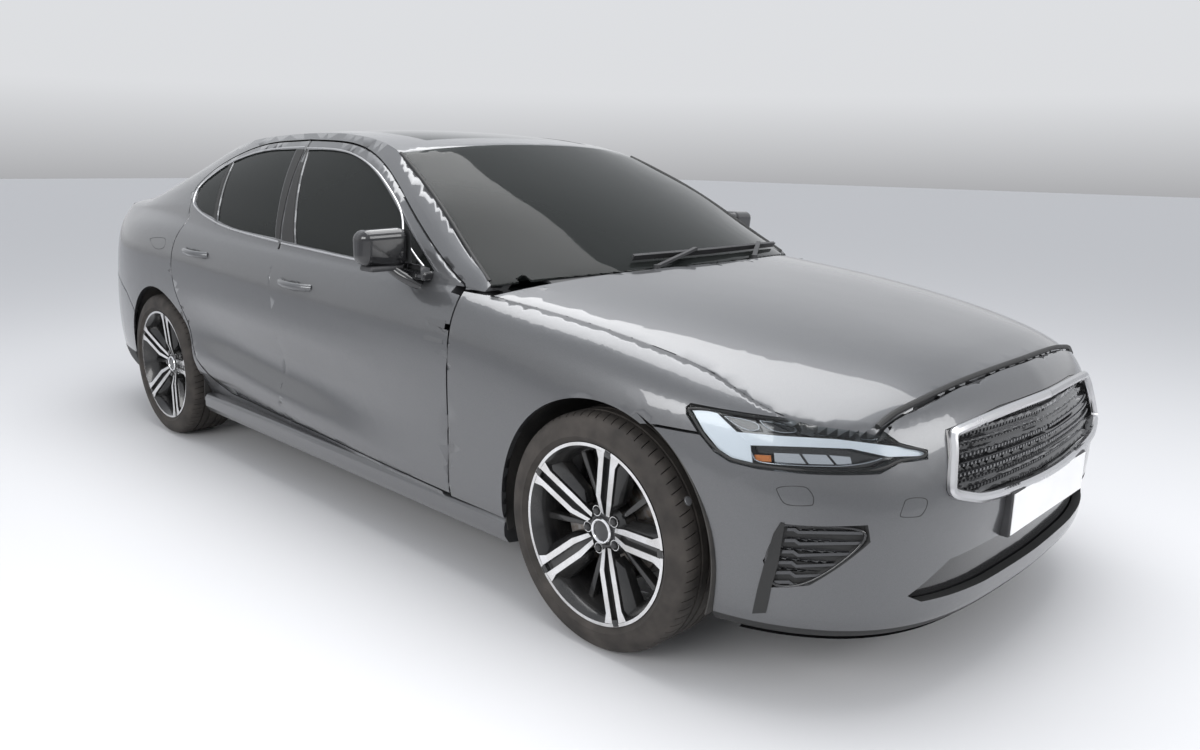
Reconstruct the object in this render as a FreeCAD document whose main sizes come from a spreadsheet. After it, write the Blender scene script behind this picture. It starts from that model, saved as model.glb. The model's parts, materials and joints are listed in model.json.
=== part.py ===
"""A four-door sedan car as an assembly of separate panels, glass, wheels, seats and running gear.

Millimetres. +X points forward, +Y to the car's left and +Z up. The origin lies on the ground, at the
middle of the car's box. Body points are drawn as (x, across, z) on one half of the car, across being the
distance from its centre plane, and are then stretched to the driving sizes in the sheet.
"""
import FreeCAD, Part
import math
import os
import re

import Sketcher

Vector = FreeCAD.Vector
doc = FreeCAD.newDocument("sedan_car")

# Driving sizes

SIZES = [
    ("length", 4761),
    ("width", 1850),
    ("height", 1431),
    ("wheelbase", 2872),
    ("front_overhang", 850.5),
    ("wheel_inset", 124),
    ("tyre_radius", 335),
    ("tyre_width", 235),
    ("bead_radius", 241),
    ("lip_radius", 256),
    ("seat_clearance", 0.3),
    ("panel_gap", 7),
    ("fixed_gap", 0.6),
    ("arch_radius", 375),
    ("liner_radius", 392),
    ("liner_wall", 4),
    ("skin", 25),
    ("door_depth", 100),
    ("frame_depth", 42),
    ("post_depth", 32),
    ("seal_gap", 16),
    ("glass", 5),
    ("glass_inset", 6),
    ("floor_top", 195),
    ("floor_bottom", 172),
    ("hub_bore", 22),
    ("running_gap", 0.05),
    ("disc_radius", 150),
    ("disc_width", 26),
    ("hinge_barrel", 6),
    ("hinge_set_in", 18),
    ("hinge_set_back", 75),
    ("door_rim", 9),
]
sizes = doc.addObject("Spreadsheet::Sheet", "sizes")
for row, (alias, number) in enumerate(SIZES, 1):
    sizes.set(f"A{row}", alias)
    sizes.set(f"B{row}", str(number))
    sizes.setAlias(f"B{row}", alias)
doc.recompute()
WORD = re.compile(r"\b(" + "|".join(alias for alias, number in SIZES) + r")\b")


def cells(formula):
    """The formula with each size's name pointing at its cell."""
    return WORD.sub(r"sizes.\1", str(formula))


def value(formula):
    """The number that a formula of sizes gives."""
    return float(sizes.evalExpression(str(formula)))


def bind(thing, prop, formula):
    """Tie a property of a document object to a formula of sizes."""
    thing.setExpression(prop, cells(formula))


FRONT_AXLE = "(length / 2 - front_overhang)"
REAR_AXLE = "(length / 2 - front_overhang - wheelbase)"
HALF_TRACK = "(width / 2 - wheel_inset)"
front_axle = value(FRONT_AXLE)
rear_axle = value(REAR_AXLE)
half_track = value(HALF_TRACK)
wheel_centre = value("tyre_radius")
skin = value("skin")
panel_gap = value("panel_gap")
fixed_gap = value("fixed_gap")

# The drawing's own sizes, from which every drawn point is stretched

DRAWN_NOSE, DRAWN_TAIL = 2380.5, -2380.5
DRAWN_FRONT_AXLE, DRAWN_REAR_AXLE = 1530.0, -1342.0
DRAWN_WHEEL_CENTRE, DRAWN_ROOF, DRAWN_SIDE = 335.0, 1431.0, 925.0
RIGHT, LEFT = -1, 1


def along(x):
    """A drawn x, stretched piece by piece: nose to axle, between the axles, axle to tail."""
    if x > DRAWN_FRONT_AXLE:
        share = (x - DRAWN_FRONT_AXLE) / (DRAWN_NOSE - DRAWN_FRONT_AXLE)
        return front_axle + share * value("front_overhang")
    if x < DRAWN_REAR_AXLE:
        share = (x - DRAWN_REAR_AXLE) / (DRAWN_TAIL - DRAWN_REAR_AXLE)
        return rear_axle - share * (rear_axle + value("length / 2"))
    return rear_axle + (x - DRAWN_REAR_AXLE) * value("wheelbase") / (DRAWN_FRONT_AXLE - DRAWN_REAR_AXLE)


def across(a):
    return a * value("width / 2") / DRAWN_SIDE


def up(z):
    """A drawn z: the wheels' part keeps to the tyre, and the rest reaches the roof."""
    if z < DRAWN_WHEEL_CENTRE:
        return z * wheel_centre / DRAWN_WHEEL_CENTRE
    share = (z - DRAWN_WHEEL_CENTRE) / (DRAWN_ROOF - DRAWN_WHEEL_CENTRE)
    return wheel_centre + share * (value("height") - wheel_centre)


def place(x, a, z, side=RIGHT):
    """A drawn point in the car's frame."""
    return Vector(along(x), side * across(a), up(z))


# Curves

def spline(knots, values):
    """A natural cubic spline through the values, as a function of the knot parameter."""
    count = len(knots)
    step = [knots[i + 1] - knots[i] for i in range(count - 1)]
    slope = [0.0] * count
    for i in range(1, count - 1):
        ahead = (values[i + 1] - values[i]) / step[i]
        behind = (values[i] - values[i - 1]) / step[i - 1]
        slope[i] = 3 * (ahead - behind)
    upper = [0.0] * count
    carried = [0.0] * count
    for i in range(1, count - 1):
        pivot = 2 * (knots[i + 1] - knots[i - 1]) - step[i - 1] * upper[i - 1]
        upper[i] = step[i] / pivot
        carried[i] = (slope[i] - step[i - 1] * carried[i - 1]) / pivot
    square = [0.0] * count
    line = [0.0] * count
    cube = [0.0] * count
    for i in range(count - 2, -1, -1):
        square[i] = carried[i] - upper[i] * square[i + 1]
        line[i] = (values[i + 1] - values[i]) / step[i] - step[i] * (square[i + 1] + 2 * square[i]) / 3
        cube[i] = (square[i + 1] - square[i]) / (3 * step[i])

    def at(t):
        i = 0
        while i < count - 2 and t >= knots[i + 1]:
            i += 1
        d = t - knots[i]
        return values[i] + d * (line[i] + d * (square[i] + d * cube[i]))
    return at


def spread(first, last, count):
    """Evenly spaced numbers from first to last."""
    return [first + (last - first) * i / (count - 1) for i in range(count)]


def ease(t):
    """A smooth step from 0 to 1."""
    t = min(max(t, 0.0), 1.0)
    return t * t * (3 - 2 * t)


# The body's belt: one ring in plan, carrying upright profiles

# Plan ring of the widest points, nose to tail
RING = [
    (2380.5, 0), (2374, 200), (2355, 400), (2312, 560), (2235, 690), (2120, 790), (1980, 855),
    (1800, 893), (1530, 913), (1150, 918), (700, 921), (200, 924), (-300, 925), (-900, 925),
    (-1342, 923), (-1700, 905), (-1950, 868), (-2120, 815), (-2240, 730), (-2315, 610),
    (-2355, 430), (-2374, 220), (-2380.5, 0),
]
# Profiles at some of the ring's points: (height, distance outwards of the ring), from the sill up
PROFILES = {
    0: [(195, -70), (240, -18), (350, -12), (460, 0), (550, 0), (640, -8), (730, -35), (785, -72), (812, -110)],
    4: [(195, -60), (240, -12), (350, -2), (460, 0), (550, -6), (640, -26), (720, -60), (768, -105), (790, -150)],
    6: [(195, -55), (240, -12), (350, 0), (460, 0), (560, -4), (660, -18), (735, -42), (780, -85), (803, -128)],
    8: [(195, -60), (260, -14), (350, -4), (470, 0), (600, 0), (700, -8), (780, -30), (838, -72), (868, -122)],
    9: [(195, -70), (262, -20), (330, -8), (490, -6), (620, -2), (730, -4), (820, -22), (878, -62), (908, -110)],
    10: [(195, -70), (255, -34), (318, -12), (470, -16), (625, -6), (740, -2), (830, -14), (900, -48), (938, -80)],
    11: [(195, -80), (262, -52), (352, -12), (492, -38), (640, -7), (750, -1), (840, -12), (912, -45), (955, -80)],
    12: [(195, -90), (275, -62), (388, -12), (515, -42), (655, -7), (765, 0), (855, -10), (928, -42), (972, -80)],
    13: [(195, -90), (295, -62), (425, -12), (560, -30), (690, -5), (790, 0), (875, -8), (950, -40), (1005, -88)],
    14: [(195, -70), (290, -30), (410, -8), (540, -4), (680, 0), (800, 0), (895, -10), (975, -45), (1035, -110)],
    16: [(215, -70), (280, -24), (400, -4), (530, 0), (660, -2), (790, -8), (890, -22), (975, -55), (1040, -115)],
    18: [(235, -80), (290, -30), (400, -6), (520, 0), (640, -10), (770, -40), (880, -62), (980, -70), (1052, -96)],
    22: [(250, -110), (300, -50), (400, -8), (500, 0), (620, -6), (740, -45), (880, -78), (1000, -80), (1085, -62)],
}
LEVELS = 8


def ring_distances():
    """Distance along the ring's chords, from the nose, at each of its points."""
    total = [0.0]
    for (x0, a0), (x1, a1) in zip(RING, RING[1:]):
        total.append(total[-1] + math.hypot(x1 - x0, a1 - a0))
    return total


STATION = ring_distances()
TAIL = STATION[-1]


def ring_splines():
    """The ring as two splines, with mirrored points past each end to keep it square to the centre plane."""
    knots = [-STATION[2], -STATION[1]] + STATION + [2 * TAIL - STATION[-2], 2 * TAIL - STATION[-3]]
    xs = [RING[2][0], RING[1][0]] + [p[0] for p in RING] + [RING[-2][0], RING[-3][0]]
    sides = [-RING[2][1], -RING[1][1]] + [p[1] for p in RING] + [-RING[-2][1], -RING[-3][1]]
    return spline(knots, xs), spline(knots, sides)


ring_x, ring_a = ring_splines()


def level_splines():
    """For each profile level, its height and its set-out as splines along the ring."""
    keys = sorted(PROFILES)
    knots = [-STATION[keys[1]]] + [STATION[k] for k in keys] + [2 * TAIL - STATION[keys[-2]]]
    wrapped = [keys[1]] + keys + [keys[-2]]
    heights, outs = [], []
    for level in range(LEVELS + 1):
        heights.append(spline(knots, [PROFILES[k][level][0] for k in wrapped]))
        outs.append(spline(knots, [PROFILES[k][level][1] for k in wrapped]))
    return heights, outs


level_heights, level_outs = level_splines()
profile_cache = {}


def outward(s):
    """The ring's plan direction away from the car, as (x, across)."""
    dx = ring_x(s + 1) - ring_x(s - 1)
    da = ring_a(s + 1) - ring_a(s - 1)
    size = math.hypot(dx, da)
    return da / size, -dx / size


def profile(s):
    """Height and set-out at ring distance s, each as a spline of the level."""
    key = round(s, 4)
    if key not in profile_cache:
        levels = list(range(LEVELS + 1))
        heights = spline(levels, [f(s) for f in level_heights])
        outs = spline(levels, [f(s) for f in level_outs])
        profile_cache[key] = (heights, outs)
    return profile_cache[key]


def belt(s, level, inset=0.0):
    """A drawn point of the body at ring distance s and profile level, moved inwards by inset."""
    if s < 0:
        x, a, z = belt(-s, level, inset)
        return x, -a, z
    if s > TAIL:
        x, a, z = belt(2 * TAIL - s, level, inset)
        return x, -a, z
    heights, outs = profile(s)
    nx, na = outward(s)
    out = outs(level) - inset
    return ring_x(s) + nx * out, ring_a(s) + na * out, heights(level)


def station_at(x):
    """The ring distance of a drawn x along the side."""
    low, high = STATION[2], STATION[-3]
    for step in range(50):
        middle = (low + high) / 2
        if ring_x(middle) > x:
            low = middle
        else:
            high = middle
    return (low + high) / 2


# Solids from drawn points

def surface(rows):
    made = Part.BSplineSurface()
    made.interpolate(rows)
    return made


def slab(outer_rows, inner_rows):
    """A closed solid between two point grids of the same shape."""
    outer, inner = surface(outer_rows), surface(inner_rows)
    u0, u1, v0, v1 = outer.bounds()
    edges = []
    for made in (outer, inner):
        iu0, iu1, iv0, iv1 = made.bounds()
        edges.append([made.uIso(iu0), made.uIso(iu1), made.vIso(iv0), made.vIso(iv1)])
    faces = [outer.toShape(), inner.toShape()]
    for a, b in zip(*edges):
        faces.append(Part.makeRuledSurface(a.toShape(), b.toShape()))
    shell = Part.makeShell(faces)
    shell.sewShape()
    return upright(Part.makeSolid(shell))


def upright(solid):
    """The solid, turned right side out."""
    if solid.Volume < 0:
        solid.reverse()
    return solid


def loop(*pieces):
    """A closed wire: each piece is a list of vectors, straight for two of them and a spline for more."""
    edges = []
    for piece in pieces:
        if len(piece) == 2:
            edges.append(Part.LineSegment(piece[0], piece[1]).toShape())
        else:
            curve = Part.BSplineCurve()
            curve.interpolate(piece)
            edges.append(curve.toShape())
    return Part.Wire(Part.__sortEdges__(edges))


def grown(pieces, amount):
    """A drawn outline moved outwards by amount, its corners kept sharp."""
    points = [p for piece in pieces for p in piece[:-1]]
    count = len(points)
    area = 0.0
    for (x0, z0), (x1, z1) in zip(points, points[1:] + points[:1]):
        area += x0 * z1 - x1 * z0
    turn = 1 if area > 0 else -1
    normals = []
    for (x0, z0), (x1, z1) in zip(points, points[1:] + points[:1]):
        size = math.hypot(x1 - x0, z1 - z0)
        normals.append((turn * (z1 - z0) / size, -turn * (x1 - x0) / size))
    moved = []
    for i in range(count):
        (ax, az), (bx, bz) = normals[i - 1], normals[i]
        reach = amount / (1 + ax * bx + az * bz)
        moved.append((points[i][0] + reach * (ax + bx), points[i][1] + reach * (az + bz)))
    out, first = [], 0
    for piece in pieces:
        out.append([moved[(first + i) % count] for i in range(len(piece))])
        first += len(piece) - 1
    return out


def side_block(pieces, near, far, grow=0.0, lean=0.0):
    """A block through the side: drawn (x, z) pieces at across near, pushed to across far.

    grow moves the outline outwards, and lean moves the far face forwards, per unit of depth."""
    if grow:
        pieces = grown(pieces, grow)
    wire = loop(*[[place(x, near, z) for x, z in piece] for piece in pieces])
    reach = across(far) - across(near)
    return Part.Face(wire).extrude(Vector(lean * abs(reach), -reach, 0))


def straight(points):
    """Drawn (x, z) points as straight pieces, closed."""
    return [[p, q] for p, q in zip(points, points[1:] + points[:1])]


def front_block(points, x_from, x_to, side=RIGHT):
    """A block along the car: drawn (across, z) corners at x_from, pushed to x_to."""
    corners = [Vector(along(x_from), side * across(a), up(z)) for a, z in points]
    wire = Part.makePolygon(corners + corners[:1])
    return Part.Face(wire).extrude(Vector(along(x_to) - along(x_from), 0, 0))


def top_block(points, z_from, z_to):
    """A block upwards: drawn (x, across) corners at z_from, pushed to z_to."""
    corners = [Vector(along(x), -across(a), up(z_from)) for x, a in points]
    wire = Part.makePolygon(corners + corners[:1])
    return Part.Face(wire).extrude(Vector(0, 0, up(z_to) - up(z_from)))


def mirrored(shape):
    """The shape on the car's other side."""
    return shape.mirror(Vector(0, 0, 0), Vector(0, 1, 0))


def both(shape):
    """The shape and its mirror image, as one compound."""
    return Part.makeCompound([shape, mirrored(shape)])


def wheel_round(axle, radius, near, far):
    """A cylinder on the right wheel's axis, from across near to across far."""
    start = Vector(axle, -across(near), wheel_centre)
    return Part.makeCylinder(radius, across(near) - across(far), start, Vector(0, 1, 0))


def solids(shape):
    """The shape's solids as one compound, or its only solid, without the crumbs of a cut."""
    found = [solid for solid in shape.Solids if solid.Volume > 9000]
    return found[0] if len(found) == 1 else Part.makeCompound(found)


nodes = {}


def add(name, shape):
    """A sub-part whose shape is set here."""
    thing = doc.addObject("Part::Feature", name)
    thing.Label = name
    thing.Shape = solids(shape)
    nodes[name] = thing
    return thing


# The side above the belt, up to the roof and glass edges

# Edge between the painted side and the windscreen, roof and rear window: (x, across, z)
TOP_EDGE = [
    (1000, 800, 930), (918, 782, 979), (796, 752, 1051), (659, 718, 1137), (522, 685, 1212), (384, 648, 1276),
    (249, 615, 1333), (100, 590, 1372), (-100, 572, 1398), (-400, 560, 1408), (-800, 552, 1396),
    (-1150, 553, 1352), (-1350, 572, 1287), (-1550, 598, 1212), (-1700, 622, 1155), (-1800, 640, 1117),
    (-1950, 652, 1087), (-2080, 652, 1072), (-2170, 618, 1064),
]
TOP_LEVELS = 5
# How far the side bulges between belt and top edge: (x, bulge)
BULGE = [(1000, 0), (800, 10), (600, 18), (0, 26), (-1000, 26), (-1500, 26), (-1800, 14), (-2000, 6), (-2170, 2)]


def top_edge_splines():
    knots = [-p[0] for p in TOP_EDGE]
    return spline(knots, [p[1] for p in TOP_EDGE]), spline(knots, [p[2] for p in TOP_EDGE])


top_a, top_z = top_edge_splines()
bulge_at = spline([-x for x, b in BULGE], [b for x, b in BULGE])
SIDE_TAIL = STATION[18] + 70


def side(s, level):
    """A drawn point of the side: belt levels, then five more up to the roof or glass edge."""
    if level <= LEVELS:
        return belt(s, level)
    x, a, z = belt(s, LEVELS)
    x_top = x if x > -1850 else -1850 + (x + 1850) * 0.93
    t = (level - LEVELS) / TOP_LEVELS
    a_top, z_top = top_a(-x_top), top_z(-x_top)
    rise, run = z_top - z, a - a_top
    size = math.hypot(rise, run)
    bulge = bulge_at(-x_top) * 4 * t * (1 - t)
    return (x + (x_top - x) * t, a - run * t + bulge * rise / size, z + rise * t + bulge * run / size)


SIDE_STATIONS = spread(station_at(975), SIDE_TAIL, 26)
SIDE_LEVELS = [0, 0.5, 1, 1.5, 2, 2.5, 3, 4, 5, 6, 6.5, 7, 7.5, 8, 8.6, 9.2, 10, 11, 12, 12.6, 13]


def side_slab(depths, near=None):
    """A slab of the side. depths gives its inner face as (inwards, downwards), and near its outer one."""
    outer, inner = [], []
    for s in SIDE_STATIONS:
        outer_row, inner_row = [], []
        for level in SIDE_LEVELS:
            p = place(*side(s, level))
            inwards, downwards = depths(s, level)
            start = near(s, level) if near else (0.0, 0.0)
            outer_row.append(p + Vector(0, start[0], -start[1]))
            inner_row.append(p + Vector(0, inwards, -downwards))
        outer.append(outer_row)
        inner.append(inner_row)
    return slab(outer, inner)


def blend_depth(low, high):
    """Depth below the belt and above it, easing over one level either side."""
    def depth(level):
        return low + (high - low) * ease((level - LEVELS + 1) / 1.5)
    return depth


door_depth = blend_depth(value("door_depth"), value("frame_depth"))
post_start = blend_depth(value("door_depth + seal_gap"), value("frame_depth + seal_gap"))


QUARTER_DEPTH = 45
DOORS_END, QUARTER_START = station_at(-1340), station_at(-1520)


def body_depth(s, level):
    """The painted side reaches in as far as the posts, is slimmer behind the doors, and turns down at the roof."""
    turn = ease((level - LEVELS - 2) / 3)
    behind = ease((s - DOORS_END) / (QUARTER_START - DOORS_END))
    strip = side(s, LEVELS + TOP_LEVELS)[2] - side(s, LEVELS)[2]
    deep = post_start(level) - fixed_gap
    inwards = deep + (min(deep, QUARTER_DEPTH) - deep) * behind
    return inwards * (1 - turn), min(56, 0.7 * strip) * turn


def post_near(s, level):
    return post_start(level) + 0.6, 0.0


def post_far(s, level):
    return post_start(level) + value("post_depth"), 0.0


def patch(side_points, centre_points, power_x, power_z, count=21):
    """Rows of drawn points across the car, from side points (x, across, z) and centre points (x, z)."""
    rows = []
    for (xe, ae, ze), (xc, zc) in zip(side_points, centre_points):
        row = []
        for q in spread(-1, 1, count):
            away = abs(q)
            x = xc + (xe - xc) * away ** power_x
            z = zc - (zc - ze) * away ** power_z
            row.append(Vector(along(x), across(ae * q), up(z)))
        rows.append(row)
    return rows


def shifted(rows, drop):
    return [[p - Vector(0, 0, drop) for p in row] for row in rows]


# Roof

ROOF_CENTRE = [(336, 1372), (200, 1392), (0, 1414), (-250, 1431), (-500, 1430), (-800, 1412), (-1000, 1390), (-1150, 1368)]
roof_centre = spline([-p[0] for p in ROOF_CENTRE], [p[1] for p in ROOF_CENTRE])
ROOF_OPENING = [(150, 430), (-750, 430), (-750, -430), (150, -430)]


def roof_rows(margin=0.0):
    """The roof's rows, from the windscreen to the rear window, margin further out all round."""
    side_points, centre_points = [], []
    for t in spread(0, 1, 13):
        xe, xc = 249 + margin + (-1150 - 249 - 2 * margin) * t, 336 + margin + (-1150 - 336 - 2 * margin) * t
        side_points.append((xe, top_a(-xe) - fixed_gap + margin, top_z(-xe)))
        centre_points.append((xc, roof_centre(-xc)))
    return patch(side_points, centre_points, 2, 2.2)


# Rear window

def rear_window_rows():
    side_points, centre_points = [], []
    for t in spread(0, 1, 9):
        x = -1150.8 + (-1786 + 1150.8) * t
        side_points.append((x, top_a(-x) - fixed_gap, top_z(-x)))
        centre_points.append((x + 8 * t, 1368 + (1122 - 1368) * t + 40 * t * (1 - t)))
    return patch(side_points, centre_points, 2, 2.4)


# Outlines on the side, as drawn (x, z)

FRONT_DOOR_TOP = [
    (880, 938), (752, 1000), (605, 1083), (460, 1163), (309, 1242), (149, 1309), (-55, 1358),
    (-243, 1372), (-433, 1376),
]
REAR_DOOR_TOP = [(-433, 1376), (-648, 1370), (-841, 1354), (-1049, 1300), (-1168, 1236), (-1212, 1180), (-1214, 1140)]
REAR_DOOR_BACK = [
    (-1214, 1140), (-1172, 1086), (-1126, 1010), (-1113, 895), (-1112, 796), (-1090, 716), (-1040, 600),
    (-1001, 524), (-948, 437), (-879, 373), (-800, 332), (-720, 304),
]
CENTRE_LINE = [(-433, 1376), (-255, 992), (-213, 873), (-193, 771), (-184, 628), (-186, 504), (-194, 383), (-182, 300)]
DOOR_FRONT = [(893, 284), (892, 445), (902, 655), (908, 800), (898, 890), (880, 938)]
FRONT_DOOR_BOTTOM = [(-182, 300), (400, 293), (893, 284)]
REAR_DOOR_BOTTOM = [(-720, 304), (-450, 303), (-182, 300)]
FRONT_DOORWAY = [
    [(800, 935), (640, 1020), (480, 1108), (309, 1192), (149, 1259), (-40, 1310), (-243, 1326), (-385, 1328)],
    [(-385, 1328), (-215, 985)],
    [(-215, 985), (-165, 873), (-146, 771), (-138, 628), (-140, 504), (-146, 345)],
    [(-146, 345), (845, 335)],
    [(845, 335), (848, 600), (850, 800), (838, 880), (800, 935)],
]
REAR_DOORWAY = [
    [(-500, 1328), (-648, 1324), (-841, 1308), (-1025, 1257), (-1110, 1212), (-1158, 1160)],
    [(-1158, 1160), (-1150, 1130), (-1080, 1005), (-1064, 895), (-1060, 796), (-1040, 735), (-985, 620)],
    [(-985, 620), (-945, 530), (-900, 455), (-850, 405), (-780, 365), (-700, 345)],
    [(-700, 345), (-238, 345)],
    [(-238, 345), (-232, 504), (-230, 628), (-240, 771), (-262, 873), (-310, 985)],
    [(-310, 985), (-500, 1328)],
]
OUTSIDE, INSIDE = 1100, 300


def front_door_outline():
    return [FRONT_DOOR_TOP, CENTRE_LINE[:2], CENTRE_LINE[1:], FRONT_DOOR_BOTTOM, DOOR_FRONT]


def rear_door_outline():
    return [REAR_DOOR_TOP, REAR_DOOR_BACK, REAR_DOOR_BOTTOM, CENTRE_LINE[1:][::-1], CENTRE_LINE[:2][::-1]]


# Painted sides with their posts and sills

FRONT_ARCH = along(DRAWN_FRONT_AXLE)
REAR_ARCH = along(DRAWN_REAR_AXLE)
LIP_DEPTH = 893
REAR_JOINT = [(-1560, 520), (-1640, 562), (-1760, 640), (-1900, 690), (-2050, 722), (-2200, 762), (-2420, 782)]
# The sill's section, as drawn (across, z)
SILL = [(735, 172), (800, 172), (878, 186), (895, 212), (897, 250), (884, 268), (735, 270)]


def arch_cut(axle):
    """The room that a wheel arch takes out of a panel: the lip, and a larger round behind it."""
    lip = wheel_round(axle, value("arch_radius"), OUTSIDE, 760)
    behind = wheel_round(axle, value("liner_radius + fixed_gap"), LIP_DEPTH, 400)
    return lip.fuse(behind)


def door_posts():
    """The posts and rails round the doorways, behind the doors."""
    ring = side_slab(post_far, post_near)
    above_rear_door = [
        (-955, 1339), (-1049, 1302), (-1168, 1243), (-1219, 1183), (-1260, 1183), (-1260, 1500), (-955, 1500),
    ]
    cutters = [
        side_block(FRONT_DOORWAY, OUTSIDE, INSIDE),
        side_block(REAR_DOORWAY, OUTSIDE, INSIDE),
        side_block(straight([(-1192, 0), (-1192, 1020), (-1240, 1020), (-1240, 1500), (-2500, 1500), (-2500, 0)]),
                   OUTSIDE, INSIDE),
        side_block(straight(above_rear_door), OUTSIDE, INSIDE),
        side_block(straight([(1002, 0), (1002, 1500), (1200, 1500), (1200, 0)]), OUTSIDE, INSIDE),
        side_block(straight([(-2500, 0), (-2500, 270.4), (1200, 270.4), (1200, 0)]), OUTSIDE, INSIDE),
        side_block(straight([(-2500, 0), (-2500, 450), (1200, 450), (1200, 0)]), 736, 0),
        wheel_round(REAR_ARCH, value("liner_radius + fixed_gap"), OUTSIDE, INSIDE),
        slab(shifted(roof_rows(12), -20), shifted(roof_rows(12), 42)),
        slab(shifted(rear_window_rows(), -20), shifted(rear_window_rows(), 14)),
    ]
    return ring.cut(cutters)


def body_side():
    """The right painted side: quarter, pillars, roof rail, sill and posts."""
    outer = side_slab(body_depth)
    front_of_door = [(850, 0), (1100, 0), (1100, 927), (1000, 927), (915, 928), (850, 920)]
    below_joint = REAR_JOINT + [(-2420, 0), (-1560, 0)]
    cutters = [
        side_block(front_door_outline(), OUTSIDE, INSIDE, grow=panel_gap),
        side_block(rear_door_outline(), OUTSIDE, INSIDE, grow=panel_gap),
        side_block(straight(front_of_door), OUTSIDE, INSIDE),
        side_block(straight(below_joint), OUTSIDE, 0),
        side_block(straight([(-1500, 0), (-1500, 400), (1200, 400), (1200, 0)]), 735, 0),
    ]
    shell = outer.cut(cutters)
    sill = Part.Face(Part.makePolygon([place(-930, a, z) for a, z in SILL + SILL[:1]]))
    sill = sill.extrude(Vector(along(1150) - along(-930), 0, 0))
    return shell.fuse(sill).cut([arch_cut(REAR_ARCH), arch_cut(FRONT_ARCH)])


def add_pair(name, right_shape):
    """A sub-part on the right side and its mirror image on the left."""
    add(name + "_right", right_shape)
    add(name + "_left", mirrored(right_shape))



# Doors

# Hinge pins, as drawn (x, across): behind the leading edge and inside the skin
FRONT_HINGE = (893 - value("hinge_set_back"), 918 - value("hinge_set_in"))
REAR_HINGE = (-184 - value("hinge_set_back"), 925 - value("hinge_set_in"))
HINGE_HEIGHTS = [680, 800]


def door(outline, back_edge, frame_edge, front_edge, doorway_glass):
    """A door's shell: full depth below the belt, a slim frame above it, with its window cut."""
    slab_of_side = side_slab(lambda s, level: (door_depth(level), 0.0))
    shell = slab_of_side.common(side_block(outline, OUTSIDE, INSIDE))
    behind_skin = side_slab(lambda s, level: (200.0, 0.0), lambda s, level: (28.0, 0.0))
    cutters = [side_block(piece, OUTSIDE, INSIDE) for piece in doorway_glass]
    cutters.append(behind_skin.common(side_block(back_edge, OUTSIDE, INSIDE)))
    cutters.append(side_block(frame_edge, 850, 500, lean=0.35))
    cutters.append(side_block(front_edge, 850, INSIDE))
    return shell.cut(cutters)


FRONT_WINDOW = [
    [(735, 966), (600, 968), (300, 973), (0, 984), (-148, 990)],
    [(-148, 990), (-388, 1340)],
    [(-388, 1340), (-243, 1341), (-55, 1327), (149, 1276), (309, 1208), (460, 1129), (605, 1048), (735, 966)],
]
REAR_WINDOW = [
    [(-305, 1000), (-600, 1012), (-795, 1030), (-845, 1038)],
    [(-845, 1038), (-1010, 1284)],
    [(-1010, 1284), (-841, 1324), (-648, 1339), (-494, 1343)],
    [(-494, 1343), (-305, 1000)],
]
QUARTER_LIGHT = [
    [(-878, 1043), (-1000, 1062), (-1120, 1092), (-1158, 1110)],
    [(-1158, 1110), (-1186, 1150), (-1186, 1170), (-1150, 1208)],
    [(-1150, 1208), (-1100, 1244), (-1036, 1276)],
    [(-1036, 1276), (-878, 1043)],
]
# What the doors' back edges lose behind their outer skin, so that they clear what is behind them
FRONT_BACK_EDGE = straight([
    (-300, 985), (-240, 985), (-190, 873), (-170, 771), (-161, 628), (-163, 504), (-171, 383), (-159, 250), (-300, 250),
])
FRONT_RIM_EDGE = straight([
    (-300, 985), (-243, 985), (-204, 873), (-184, 771), (-175, 628), (-177, 504), (-185, 383), (-173, 250), (-300, 250),
])
REAR_BACK_EDGE = straight([
    (-1250, 1000), (-1098, 1000), (-1088, 895), (-1087, 796), (-1066, 716), (-1018, 600), (-980, 524),
    (-928, 437), (-862, 383), (-700, 325), (-700, 200), (-1250, 200),
])


def window_glass(pieces):
    """Panes a little behind the door's skin, each filling its opening."""
    layer = side_slab(lambda s, level: (value("glass_inset + glass"), 0.0),
                      lambda s, level: (value("glass_inset"), 0.0))
    panes = [layer.common(side_block(piece, OUTSIDE, INSIDE, grow=-fixed_gap / 2)) for piece in pieces]
    return Part.makeCompound(panes)


# What the window frames' back edges lose, leaning forwards inboard, so that they clear as they swing out
FRONT_FRAME_EDGE = straight([(-255, 985), (-515, 1388), (-700, 1388), (-700, 985)])
REAR_FRAME_EDGE = straight([
    (-1126, 985), (-1190, 1070), (-1246, 1140), (-1262, 1190), (-1236, 1262), (-1130, 1330), (-1400, 1330), (-1400, 985),
])
# What the doors' front edges lose behind their outer skin, so that they clear the posts
FRONT_FRONT_EDGE = straight([(847, 200), (847, 934), (990, 934), (990, 200)])
REAR_FRONT_EDGE = straight([(-230, 200), (-230, 800), (-262, 985), (-100, 985), (-100, 200)])


def hinge_rooms(pin):
    """The room round a door's two hinges, in front of and inside its pin."""
    x, a = pin
    rooms = []
    for height in HINGE_HEIGHTS:
        barrel = value("hinge_barrel")
        corner = Vector(along(x) - 2 * barrel - 4, -across(a) - barrel - 2, up(height) - 28)
        rooms.append(Part.makeBox(160, 220, 56, corner))
    return rooms


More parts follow.
